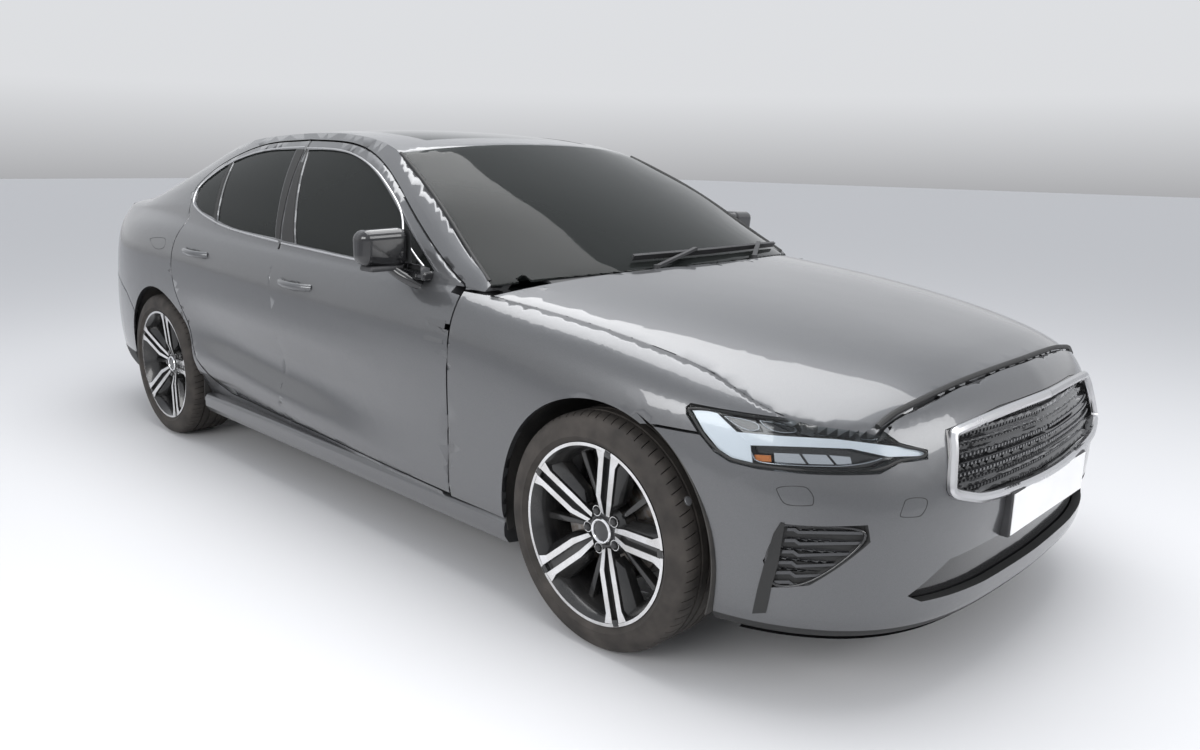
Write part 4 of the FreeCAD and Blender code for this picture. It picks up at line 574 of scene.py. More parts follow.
def running_gear_finishes():
    """Wheels, brakes, castings, underside and exhaust."""
    rubber = tuple(car().car_wheels.rubber)
    mixed("machined_alloy", (0.74, 0.74, 0.75), 0.24, 1.0, tones=(20, 5, (0.66, 0.65, 0.64), (0.80, 0.80, 0.81)),
          gloss=(260, 2, 0.18, 0.32), Coat_Weight=0.5, Coat_Roughness=0.05)
    mixed("dark_alloy", (0.018, 0.018, 0.019), 0.25, 0.3, tones=(12, 5, (0.012, 0.012, 0.013), (0.035, 0.034, 0.033)),
          Coat_Weight=0.5, Coat_Roughness=0.08)
    mixed("tyre_rubber", rubber, 0.82, tones=(16, 8, shade(rubber, 0.7), shade(rubber, 1.9), 0.3, 0.75),
          relief=(400, 4, 0.0008, 0.35))
    mixed("brake_iron", (0.30, 0.29, 0.28), 0.36, 1.0, tones=(60, 6, (0.22, 0.18, 0.15), (0.36, 0.35, 0.34)))
    mixed("cast_metal", (0.13, 0.13, 0.13), 0.6, 0.6, tones=(30, 6, (0.08, 0.075, 0.07), (0.18, 0.175, 0.17)),
          relief=(220, 4, 0.001, 0.4))
    mixed("underseal", (0.028, 0.028, 0.028), 0.75, tones=(8, 7, (0.02, 0.02, 0.02), (0.055, 0.05, 0.045)),
          relief=(120, 4, 0.0015, 0.4))
    mixed("exhaust_steel", (0.42, 0.39, 0.35), 0.38, 1.0, tones=(7, 6, (0.30, 0.24, 0.19), (0.50, 0.48, 0.45)))


def cabin_finishes():
    """Leather, stitching, plastic and screens."""
    mixed("seat_leather", (0.035, 0.034, 0.034), 0.48, tones=(9, 5, (0.026, 0.025, 0.025), (0.052, 0.05, 0.049)),
          relief=(260, 2, 0.0006, 0.5, "ShaderNodeTexVoronoi"))
    mixed("seat_stitching", (0.20, 0.19, 0.18), 0.7, tones=(600, 3, (0.13, 0.12, 0.11), (0.26, 0.25, 0.24)))
    mixed("cabin_plastic", (0.030, 0.030, 0.031), 0.6, tones=(6, 4, (0.024, 0.024, 0.025), (0.042, 0.042, 0.043)),
          relief=(500, 3, 0.0005, 0.4))
    mixed("dark_screen", (0.006, 0.007, 0.009), 0.06, gloss=(25, 4, 0.04, 0.1), Coat_Weight=0.5)
    mixed("grip_leather", (0.022, 0.021, 0.021), 0.42, relief=(420, 2, 0.0005, 0.5, "ShaderNodeTexVoronoi"))


class CAR_OT_finishes(bpy.types.Operator):
    """Mix the paints, metals, plastics, glass and leathers"""
    bl_idname = "car.finishes"
    bl_label = "Mix Finishes"

    def execute(self, context):
        body_paints()
        see_through("window_glass", tuple(car().car_glass.tint), car().car_glass.clear)
        see_through("clear_cover", (0.93, 0.95, 0.96), 0.94, 0.015)
        trim_finishes()
        lamp_finishes()
        running_gear_finishes()
        cabin_finishes()
        return {"FINISHED"}


# Painted panels

PAINTED = {
    "body_side": "body", "front_wing": "body", "front_door": "door_front", "rear_door": "door_rear",
}
PAINTED_SINGLE = {
    "roof_panel": "body", "front_bumper": "body", "rear_bumper": "body", "bonnet": "bonnet_lid", "boot_lid": "boot",
}
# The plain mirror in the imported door, taken out of its painted copy
MIRROR_FROM, MIRROR_TO = 0.54, 0.75
MIRROR_LINE, MIRROR_FOOT = 0.866, 0.940
# Below these heights the bumpers are black, and so are the walls of the front one's openings
LIP_TOP = {"front_bumper": 0.232, "rear_bumper": 0.335}
OPENING_FROM, OPENING_HALF, OPENING_HEIGHTS = 1.9, 0.84, (0.27, 0.52)
# Faces turned inwards past this distance from the middle, or facing down more steeply than this, take the darker
# paint as painted shade
INSIDE_FROM, DOWNWARDS = 0.4, -0.6


def painted_panel(node, body):
    made = painted(node_copy(node, "painted_" + node), "metallic_paint", "shaded_paint")
    if node.startswith("front_door"):
        pick_faces(made, lambda spot, normal: (
            MIRROR_FROM < spot.x < MIRROR_TO and spot.z > MIRROR_FOOT and abs(spot.y) > MIRROR_LINE))
        bpy.ops.mesh.delete(type="FACE")
        done()
    # Faces turned inwards or downwards get the darker paint: painted shade
    for face in made.data.polygons:
        inwards = face.center.y * face.normal.y < 0 and abs(face.center.y) > INSIDE_FROM
        face.material_index = 1 if inwards or face.normal.z < DOWNWARDS else 0
    if node.endswith("bumper"):
        made.data.materials.append(finishes["seal_rubber"])
        cut_line(made, (0, 0, LIP_TOP[node]), (0, 0, 1))
        for face in made.data.polygons:
            spot = face.center
            opening = (node == "front_bumper" and abs(face.normal.x) < 0.12 and abs(spot.y) < OPENING_HALF
                       and spot.x > OPENING_FROM and OPENING_HEIGHTS[0] < spot.z < OPENING_HEIGHTS[1])
            if spot.z < LIP_TOP[node] or opening:
                face.material_index = 2
    evened(made)
    return placed(made, body, [node])


class CAR_OT_panels(bpy.types.Operator):
    """Smooth and paint the body's panels"""
    bl_idname = "car.panels"
    bl_label = "Paint Panels"

    def execute(self, context):
        for node, body in PAINTED.items():
            for side in SIDES:
                whole = body if body == "body" else f"{body}_{side}"
                painted_panel(f"{node}_{side}", whole)
        for node, body in PAINTED_SINGLE.items():
            painted_panel(node, body)
        return {"FINISHED"}


# Panes

PANES = {
    "windscreen": "body", "rear_window": "body", "roof_glass": "body",
    "front_door_glass_right": "door_front_right", "front_door_glass_left": "door_front_left",
    "rear_door_glass_right": "door_rear_right", "rear_door_glass_left": "door_rear_left",
}


class CAR_OT_panes(bpy.types.Operator):
    """Polish the window panes and the glass roof"""
    bl_idname = "car.panes"
    bl_label = "Glaze Windows"

    def execute(self, context):
        for node, body in PANES.items():
            dressed(node, "pane_" + node, "window_glass", body)
        return {"FINISHED"}


# CAD pieces that keep their own shape

KEPT = {
    # The door posts take the darker paint, its colour a painted shade inside the doorways
    "door_posts_right": "shaded_paint", "door_posts_left": "shaded_paint", "floor_pan": "underseal",
    "wheel_liners": "underseal", "front_subframe": "cast_metal", "rear_subframe": "cast_metal",
    "knuckle_right": "brake_iron", "knuckle_left": "brake_iron", "engine_block": "cast_metal",
    "fuel_tank": "cabin_plastic", "exhaust": "exhaust_steel", "cowl_panel": "grained_plastic",
    "rear_shelf": "cabin_plastic", "dashboard": "cabin_plastic",
    "wipers": "grained_plastic", "steering_wheel": "grip_leather",
}


class CAR_OT_kept(bpy.types.Operator):
    """Give the pieces below and inside the car their finishes"""
    bl_idname = "car.kept"
    bl_label = "Finish Running Gear"

    def execute(self, context):
        for node, finish in KEPT.items():
            painted(frame["nodes"][node], finish)
        return {"FINISHED"}


# Wheels, modelled once about the origin as a right-hand wheel and copied to the four hubs

HUBS = {"front": 1.530, "rear": -1.342}
TYRE_RADIUS, HALF_TRACK = 0.335, 0.801
SPOKE_ANGLE = math.radians(13)
KINK = 0.104
SPOKE_START, SPOKE_END = 0.048, 0.247
FACE_AT_HUB, FACE_AT_KINK, FACE_AT_LIP = 0.067, 0.0865, 0.1083
SPOKE_BAR = [
    (0.0035, 0.048), (0.018, 0.052), (0.030, KINK), (0.0315, 0.216), (0.043, 0.243), (0.0118, 0.247), (0.0112, KINK),
]
SPOKE_FLANK = [(0.027, 0.080), (0.047, 0.112), (0.058, 0.236), (0.030, 0.238)]
SPOKE_WEB = [
    (-0.0116, 0.046), (0.0116, 0.046), (0.0122, KINK), (0.0126, 0.240), (-0.0126, 0.240), (-0.0122, KINK),
]
INNER_RIB = [(-0.006, 0.066), (0.006, 0.066), (0.0075, KINK), (0.010, 0.226), (-0.010, 0.226), (-0.0075, KINK)]
WEB_END = ((-0.0112, -0.1092, 0.236), (0.0112, -0.086, 0.2552))
# How far behind the bright face the dark parts start, and how far out all of them end
FLANK_SUNK, FLANK_START, WEB_SUNK = 0.006, 0.027, 0.013
BAR_BACK, FLANK_BACK, WEB_BACK, RIB_BACK = 0.046, 0.034, 0.040, 0.028
RIB_AT_HUB, RIB_START, RIB_RISE = 0.048, 0.066, 0.0625
BOLT_CIRCLE = 0.056
BOLT_PROFILE = [(0.0, 0.0735), (0.0075, 0.0725), (0.0105, 0.069), (0.0108, 0.050), (0.0, 0.050)]
BOLT_SEAT_PROFILE = [(0.0130, 0.060), (0.0135, 0.0655), (0.0152, 0.0655), (0.0165, 0.060)]
BARREL_PROFILE = [
    (0.2555, 0.1085), (0.2555, 0.103), (0.241, 0.097), (0.238, 0.080), (0.222, 0.040), (0.222, -0.060),
    (0.238, -0.080), (0.241, -0.097), (0.253, -0.1025), (0.253, -0.109), (0.246, -0.109), (0.233, -0.102),
    (0.230, -0.087), (0.214, -0.058), (0.214, 0.040), (0.228, 0.082), (0.238, 0.099), (0.2465, 0.1085),
]
HUB_PROFILE = [
    (0.0, 0.060), (0.037, 0.060), (0.042, 0.064), (0.066, 0.060), (0.079, 0.046), (0.079, 0.004), (0.060, -0.004),
    (0.0, -0.004),
]
CAP_RING = [(0.0285, 0.058), (0.0285, 0.071), (0.031, 0.0735), (0.034, 0.0735), (0.0365, 0.070), (0.0365, 0.058)]
CAP_DISH = [(0.0, 0.0705), (0.018, 0.0695), (0.0286, 0.067), (0.0286, 0.058), (0.0, 0.058)]
DISC_PROFILE = [
    (0.060, 0.001), (0.150, 0.001), (0.150, -0.009), (0.110, -0.009), (0.110, -0.016), (0.150, -0.016),
    (0.150, -0.025), (0.060, -0.025),
]
# Each turned part's name, profile, steps and finish
HUB_PARTS = [
    ("hub", HUB_PROFILE, 64, "dark_alloy"), ("cap_ring", CAP_RING, 64, "bright_metal"),
    ("cap_dish", CAP_DISH, 64, "gloss_black"), ("disc", DISC_PROFILE, 96, "brake_iron"),
]
SIDEWALL = [
    (TYRE_RADIUS, 0.0640), (0.3345, 0.076), (0.3325, 0.088), (0.3285, 0.0985), (0.322, 0.106), (0.313, 0.1112),
    (0.303, 0.1145), (0.2925, 0.1165), (0.284, 0.1173), (0.2765, 0.1172), (0.2745, 0.1182), (0.2715, 0.1182),
    (0.2695, 0.1160), (0.264, 0.1115), (0.259, 0.1075), (0.2562, 0.1045), (0.250, 0.101), (0.2415, 0.0965),
]
INNER_WALL = [(0.2425, 0.084), (0.262, 0.088), (0.290, 0.102), (0.313, 0.090), (0.317, 0.060)]
TREAD_GROOVES = (-0.052, -0.021, 0.021, 0.052)
GROOVE_HALF, GROOVE_DEPTH = 0.0048, 0.0070
BLADE_CORNERS, BLADE_SLANT = ((-0.0014, 0.0605, 0.3255), (0.0014, 0.1105, 0.345)), math.radians(14)


def spoke_face(radius):
    """How far out the spokes' bright face stands at a radius: steep to the kink, then flatter to the lip."""
    if radius < KINK:
        return FACE_AT_HUB + (FACE_AT_KINK - FACE_AT_HUB) * (radius - SPOKE_START) / (KINK - SPOKE_START)
    return FACE_AT_KINK + (FACE_AT_LIP - FACE_AT_KINK) * (radius - KINK) / (SPOKE_END - KINK)


def lathed(name, profile, steps=96):
    """A closed profile of (radius, distance outwards) turned about the wheel's axle."""
    return turned(name, [(radius, -out) for radius, out in profile], (0, 0, 0), steps)


def spoke_plate(name, outline, front, back):
    """A flat spoke shape whose front follows a formula of its place; back is one depth."""
    made = plate(name, [(across, -1, radius) for across, radius in outline], (0, 2, 0))
    cut_line(made, (0, 0, KINK), (0, 0, 1))
    for corner in made.data.vertices:
        corner.co.y = -front(corner.co) if corner.co.y < 0 else -back
    return made


def tread_profile():
    """The tyre's outline, tread grooves and inner wall."""
    side = [(radius, -out) for radius, out in reversed(SIDEWALL)]
    across = []
    floor, floor_half = TYRE_RADIUS - GROOVE_DEPTH, GROOVE_HALF * 0.7
    for middle in TREAD_GROOVES:
        across += [
            (TYRE_RADIUS, middle - GROOVE_HALF), (floor, middle - floor_half), (floor, middle + floor_half),
            (TYRE_RADIUS, middle + GROOVE_HALF),
        ]
    inside = INNER_WALL + [(radius, -out) for radius, out in reversed(INNER_WALL)]
    return side + across + SIDEWALL + inside


def tread_cutters(count):
    """Thin blades that cut the grooves across both shoulders."""
    blades = []
    for side in (-1, 1):
        first = block("shoulder_blade", *BLADE_CORNERS)
        edit(first)
        bpy.ops.mesh.select_all(action="SELECT")
        bpy.ops.transform.rotate(value=BLADE_SLANT, orient_axis="Z")
        done()
        if side < 0:
            first.data.transform(ACROSS)
            first.data.flip_normals()
        blades.append(first)
        for i in range(1, count):
            turn = Matrix.Rotation(2 * math.pi * (i + (0.5 if side > 0 else 0)) / count, 4, "Y")
            blades.append(copied(first, "shoulder_blade", turn))
    return joined("shoulder_blades", blades)


def master_tyre():
    tyre = lathed("tyre_master", tread_profile(), 120)
    blades = tread_cutters(car().car_wheels.tread_blocks)
    cut = tyre.modifiers.new("Blocks", "BOOLEAN")
    cut.operation = "DIFFERENCE"
    cut.solver = "EXACT"
    cut.object = blades
    apply_all(tyre)
    bpy.data.objects.remove(blades)
    painted(tyre, "tyre_rubber")
    smooth(tyre, 28)
    return tyre


def two_tone(piece, wanted):
    """Dark alloy, with machined faces where the test passes."""
    painted(piece, "dark_alloy", "machined_alloy")
    for face in piece.data.polygons:
        face.material_index = 1 if wanted(face.center, face.normal) else 0
    return piece


def master_rim():
    """Barrel, pairs of bright-faced spokes with a dark channel between, hub, bolts and brake disc."""
    settings = car().car_wheels
    barrel = lathed("barrel", BARREL_PROFILE, 120)
    two_tone(barrel, lambda spot, normal: math.hypot(spot.x, spot.z) > 0.2455 and spot.y < -0.1 and normal.y < -0.7)
    pieces = [barrel]
    for side in (-1, 1):
        outline = [(side * across, radius) for across, radius in SPOKE_BAR]
        bar = spoke_plate("spoke", outline, lambda spot: spoke_face(spot.z), BAR_BACK)
        rounded(bar, 0.0009, 1, 30)
        pieces.append(two_tone(bar, lambda spot, normal: normal.y < -0.93 and spot.y < -0.06))
        outline = [(side * across, radius) for across, radius in SPOKE_FLANK]
        flank = spoke_plate(
            "flank", outline, lambda spot: spoke_face(spot.z) - FLANK_SUNK - (abs(spot.x) - FLANK_START), FLANK_BACK)
        rounded(flank, 0.0015, 1, 30)
        pieces.append(painted(flank, "dark_alloy"))
    web = spoke_plate("web", SPOKE_WEB, lambda spot: spoke_face(spot.z) - WEB_SUNK, WEB_BACK)
    pieces.append(painted(web, "dark_alloy"))
    pieces.append(painted(soft_block("web_end", WEB_END, 0.0015), "dark_alloy"))
    rib = spoke_plate("rib", INNER_RIB, lambda spot: RIB_AT_HUB + RIB_RISE * (spot.z - RIB_START), RIB_BACK)
    rounded(rib, 0.003, 2)
    rib.data.transform(Matrix.Rotation(math.pi / settings.spokes, 4, "Y"))
    pieces.append(painted(rib, "dark_alloy"))
    bolt = lathed("bolt", BOLT_PROFILE, 24)
    seat = lathed("bolt_seat", BOLT_SEAT_PROFILE, 32)
    painted(bolt, "dark_alloy")
    painted(seat, "machined_alloy")
    to_bolt = Matrix.Rotation(math.pi / settings.spokes, 4, "Y") @ Matrix.Translation((0, 0, BOLT_CIRCLE))
    for piece in (bolt, seat):
        piece.data.transform(to_bolt)
        pieces.append(piece)
    repeated = pieces[1:]
    for i in range(1, settings.spokes):
        turn = Matrix.Rotation(2 * math.pi * i / settings.spokes, 4, "Y")
        pieces += [copied(piece, piece.name, turn) for piece in repeated]
    pieces += [painted(lathed(name, profile, steps), finish) for name, profile, steps, finish in HUB_PARTS]
    rim = joined("rim_master", pieces)
    rim.data.transform(Matrix.Rotation(SPOKE_ANGLE, 4, "Y"))
    smooth(rim, 30)
    return rim


class CAR_OT_wheels(bpy.types.Operator):
    """Model one wheel and put a copy on every hub"""
    bl_idname = "car.wheels"
    bl_label = "Fit Wheels"

    def execute(self, context):
        masters = {"rim": master_rim(), "tyre": master_tyre()}
        for side, sign in SIDES.items():
            for end, hub in HUBS.items():
                place = Matrix.Translation((hub, sign * HALF_TRACK, TYRE_RADIUS))
                turn = place if side == "right" else place @ ACROSS
                for kind, master in masters.items():
                    where = f"{end}_{side}"
                    made = copied(master, f"{kind}_piece_{where}", turn)
                    placed(made, f"wheel_{where}", [f"{kind}_{where}"])
        for master in masters.values():
            bpy.data.objects.remove(master)
        return {"FINISHED"}


# Shapes drawn on the photograph and laid on the body along the camera's own sight lines, in pixels of its 1200 x 750

PHOTO_CENTRE = (600, 375)
PHOTO_WIDTH, SENSOR_WIDTH = 1200, 36
# A sight line that misses is searched for its nearest point from 1.5 m on, every centimetre up to 6 m
SIGHT_START, SIGHT_STEP, SIGHT_COUNT = 1.5, 0.01, 450
LAMP_EDGE = [
    (688.5, 409), (693, 406.8), (777, 419.5), (871, 431.3), (881, 433), (899, 446.3), (926, 450), (926, 457.2),
    (899, 460), (879, 471.8), (805, 470.8), (757, 465.8), (731, 460), (716, 449.5), (700, 431),
]
LAMP_BLADE = [
    (693, 410.5), (704.5, 410.4), (717.4, 413.2), (736.1, 431), (750.4, 444.5), (752.7, 462.5), (732, 457.5),
    (719, 449), (704.5, 431),
]
LAMP_BAR = [
    (736.1, 431.9), (779.1, 435.9), (836.5, 439.4), (896.8, 446.8), (923.5, 450.6), (923.5, 456), (888.2, 456.9),
    (850.9, 448.8), (799.2, 446.8), (749, 445.1),
]
LAMP_MODULES = [
    [(724.5, 416), (755, 420), (762, 431), (740, 429.4)], [(760, 420.8), (792, 424.2), (799, 433.5), (768, 431.6)],
    [(797, 425), (832, 428.8), (841, 436.4), (806, 434.2)], [(838, 429.6), (868, 433.2), (881, 440.7), (850, 438)],
]
LAMP_REFLECTORS = [
    [(774, 452.8), (799, 453.9), (806, 464), (775, 463.4)], [(802, 454), (826, 455), (834, 464.6), (809, 464.1)],
    [(829, 455.2), (850, 457), (852, 464.6), (837, 464.6)],
]
LAMP_AMBER = [(754.5, 454.6), (771, 455.4), (771.5, 461.7), (756.6, 461)]
LAMP_LINE = [(749, 446), (752.8, 456), (757, 462.6), (799.2, 466.2), (860, 466.6), (882, 458.5)]
WASHER_COVER = [
    (776.3, 489), (779.1, 486.1), (805, 486.1), (809.6, 490.4), (813.6, 496.2), (813.6, 504.2), (810.7, 505.9),
    (787.8, 505.7), (780.6, 500.5), (776.3, 489),
]
TOW_COVER = [
    (905.4, 500.5), (909.7, 497.6), (926.9, 497.6), (927.8, 504.8), (922.6, 514.8), (918.3, 517.1), (901.1, 517.4),
    (899.7, 515.1), (905.4, 500.5),
]
CORNER_BLADE = [
    (780.6, 522.6), (784.6, 523.4), (778.5, 562.2), (771, 588.6), (768, 603.8), (766, 612.4), (752.2, 613),
    (757.6, 588), (766.2, 556.5), (773.4, 533.5),
]
CORNER_SLATS = [
    [(787.2, 527.8), (794.9, 527.8), (799.2, 530.6), (862.9, 531.5), (862.9, 534.4), (797.8, 533.5), (793.5,
     530.9), (787.2, 530.6)],
    [(784.9, 538.7), (794.9, 538.7), (799.8, 542.1), (861.8, 541.5), (860.9, 544.4), (798.7, 545.0), (794.1,
     541.8), (784.3, 541.8)],
    [(782.6, 549.9), (793.5, 549.9), (798.7, 553.6), (852.3, 552.4), (848.6, 555.3), (797.5, 556.5), (792.6,
     553.0), (781.7, 553.0)],
    [(779.1, 560.8), (792.1, 560.8), (796.9, 564.5), (839.4, 563.1), (835.7, 565.9), (795.8, 567.4), (791.2,
     563.9), (778.3, 563.9)],
    [(776.6, 570.8), (790.6, 570.8), (795.8, 574.5), (826.5, 573.7), (822.8, 576.5), (794.6, 577.4), (789.8,
     574.0), (775.7, 574.0)],
    [(774.6, 580.3), (789.2, 580.3), (793.5, 583.7), (813.6, 583.7), (810.1, 586.6), (792.9, 586.6), (788.6,
     583.4), (773.7, 583.4)],
]
CORNER_FILL = [(779, 521), (868, 521), (870, 546), (813, 588), (771, 592), (762, 575), (758, 556), (770, 530)]
CORNER_OPENING = [(783, 525), (865, 525), (866, 544), (812, 584), (773, 588), (766.5, 570), (765, 556), (776, 535)]
FRONT_SENSOR = (688, 501)
FUEL_FLAP = [(150, 239), (153, 248), (160, 249.5), (165, 247), (166, 239), (163, 237.5), (152, 237.5), (150, 239)]


def eye():
    """The camera's place and its three directions: ahead, right and up."""
    settings = car().car_stage
    yaw, pitch, roll = settings.yaw, settings.pitch, settings.roll
    ahead = Vector((math.cos(pitch) * math.cos(yaw), math.cos(pitch) * math.sin(yaw), math.sin(pitch)))
    level = ahead.cross(Vector((0, 0, 1))).normalized()
    above = level.cross(ahead)
    right = level * math.cos(roll) + above * math.sin(roll)
    top = above * math.cos(roll) - level * math.sin(roll)
    return Vector(settings.camera_place), ahead, right, top


def seen(shape, across, down):
    """Where the sight line through a photo point meets a shape, or passes nearest to it, with its way and normal."""
    place, ahead, right, top = eye()
    focal = car().car_stage.focal / SENSOR_WIDTH * PHOTO_WIDTH
    way = ahead * focal + right * (across - PHOTO_CENTRE[0]) - top * (down - PHOTO_CENTRE[1])
    way.normalize()
    spot, normal, index, distance = shape.ray_cast(place, way)
    if spot is None:
        steps = [place + way * (SIGHT_START + SIGHT_STEP * i) for i in range(SIGHT_COUNT)]
        spot = min(steps, key=lambda step: shape.find_nearest(step)[3])
        normal = shape.find_nearest(spot)[1]
    return spot, way, normal


def filled(node, outline):
    """A node's shape with an opening closed by a fan between the points seen round it."""
    ring = [seen(surface_of(node), across, down)[0] for across, down in outline]
    corners = [sum(ring, Vector()) / len(ring)] + ring
    faces = [[0, 1 + i, 1 + (i + 1) % len(ring)] for i in range(len(ring))]
    return shape_of([node], corners, faces)


def draped(name, outline, shape, depth, thickness, step=6):
    """A skin inside a photo outline, laid on a shape and sunk along the sight lines by depth."""
    made = face_only(name, [(across, down, 0) for across, down in outline], (0, 0, 1))
    for axis in (0, 1):
        low = min(point[axis] for point in outline)
        high = max(point[axis] for point in outline)
        for i in range(1, int((high - low) / step) + 1):
            spot, normal = Vector((0, 0, 0)), Vector((0, 0, 0))
            spot[axis], normal[axis] = low + i * step, 1
            cut_line(made, spot, normal)
    for corner in made.data.vertices:
        spot, way, normal = seen(shape, corner.co.x, corner.co.y)
        corner.co = spot + way * depth
    return thickened(made, thickness)


def line_on(name, points, shape, radius, depth=0.0):
    """A rod along photo points, laid on a shape."""
    spots = []
    for across, down in points:
        spot, way, normal = seen(shape, across, down)
        spots.append(spot + way * depth)
    return rod(name, spots, radius)


def on_both_sides(name, pieces, body, replaces=()):
    """Join the pieces of the right side, mirror them on to the left and let both ride on the body."""
    right = joined(name, pieces)
    left = copied(right, name + "_left", ACROSS)
    both = joined(name, [right, left])
    return placed(both, body, replaces)


class CAR_OT_lamps(bpy.types.Operator):
    """Build the headlamps: clear cover, dark bowl, light blade and bar, modules and marker"""
    bl_idname = "car.lamps"
    bl_label = "Fit Headlamps"

    def execute(self, context):
        lens = surface_of("headlamps")
        dressed("headlamps", "headlamp_covers", "clear_cover", "body")
        skins = [
            ("bowl", LAMP_EDGE, 0.046, 0.002, "gloss_black"), ("blade", LAMP_BLADE, 0.010, 0.006, "lamp_light"),
            ("bar", LAMP_BAR, 0.012, 0.007, "lamp_light"), ("amber", LAMP_AMBER, 0.018, 0.004, "amber_marker"),
        ]
        skins += [("module", outline, 0.030, 0.004, "dark_screen") for outline in LAMP_MODULES]
        skins += [("reflector", outline, 0.034, 0.003, "lamp_silver") for outline in LAMP_REFLECTORS]
        lines = [
            ("gasket", LAMP_EDGE + LAMP_EDGE[:1], 0.0038, -0.001, "seal_rubber"),
            ("line", LAMP_LINE, 0.0022, 0.012, "lamp_silver"),
        ]
        lines += [("module_rim", outline + outline[:1], 0.0014, 0.026, "lamp_silver") for outline in LAMP_MODULES]
        pieces = [painted(draped(name, outline, lens, sunk, thick), finish)
                  for name, outline, sunk, thick, finish in skins]
        pieces += [painted(line_on(name, points, lens, radius, sunk), finish)
                   for name, points, radius, sunk, finish in lines]
        on_both_sides("headlamp_insides", pieces, "body")
        return {"FINISHED"}


# Front end

BONNET_SEAL = [
    (2.1960, -0.640, 0.7240), (2.2010, -0.601, 0.7450), (2.2210, -0.524, 0.7640), (2.2340, -0.424, 0.7790),
    (2.2470, -0.324, 0.7930), (2.2620, -0.170, 0.8030), (2.2740, 0.0, 0.8085),
]
BONNET_SEAL_LIFT, BONNET_SEAL_RADIUS = Vector((0.0015, 0, 0.0035)), 0.0075
GRILLE_RIM = [
    (0.0, 0.728), (0.250, 0.722), (0.420, 0.706), (0.458, 0.701), (0.468, 0.690), (0.474, 0.665), (0.500, 0.590),
    (0.503, 0.574), (0.494, 0.562), (0.465, 0.552), (0.370, 0.526), (0.0, 0.512),
]
GRILLE_ROWS, GRILLE_TEETH, GRILLE_HALF = 9, 30, 0.45
GRILLE_ROW_TOP, GRILLE_ROW_STEP, GRILLE_FRAME_RADIUS = 0.703, 0.0215, 0.0125
TOOTH_LOW, TOOTH_HIGH = Vector((-0.004, -0.0052, -0.0035)), Vector((0.0035, 0.0052, 0.0035))
SENSOR_RADIUS, SHUT_LINE_RADIUS = 0.0115, 0.0011
PLATE_WIDTH, PLATE_HEIGHT, PLATE_THICKNESS = 0.520, 0.111, 0.003
CARRIER_DEPTH, CARRIER_RIM = 0.030, 0.006
TRIM_CORNER_FROM, TRIM_CORNER_HEIGHTS = 0.66, (0.34, 0.50)
FRONT_PLATE = (2.3880, 0.4605)
AHEAD_OF_CAR = 3.0


def from_ahead(shape, across, height):
    """Where a shape is met from straight ahead of the car."""
    return met(shape, (AHEAD_OF_CAR, across, height), (-1, 0, 0))


def row_reach(height):
    """Half the length of a row of grille bars: shorter below the upper corners and towards the bottom."""
    return min(0.448, 0.38 + (GRILLE_ROW_TOP - height) * 3, 0.465 - max(0.0, 0.570 - height) * 2.2)


def number_plate(name, x, height, way):
    """A blank plate with rounded corners on a black carrier; way is the side it faces along the car."""
    low, high = -PLATE_WIDTH / 2, PLATE_WIDTH / 2
    bottom, top = height - PLATE_HEIGHT / 2, height + PLATE_HEIGHT / 2
    front, back = x + PLATE_THICKNESS * way, x - CARRIER_DEPTH * way
    corners = (min(x, front), low, bottom), (max(x, front), high, top)
    sheet = painted(soft_block(name, corners, 0.0012), "blank_plate")
    corners = ((min(x, back), low - CARRIER_RIM, bottom - CARRIER_RIM),
               (max(x, back), high + CARRIER_RIM, top + CARRIER_RIM))
    carrier = painted(soft_block(name + "_carrier", corners, 0.004), "grained_plastic")
    return joined(name, [sheet, carrier])


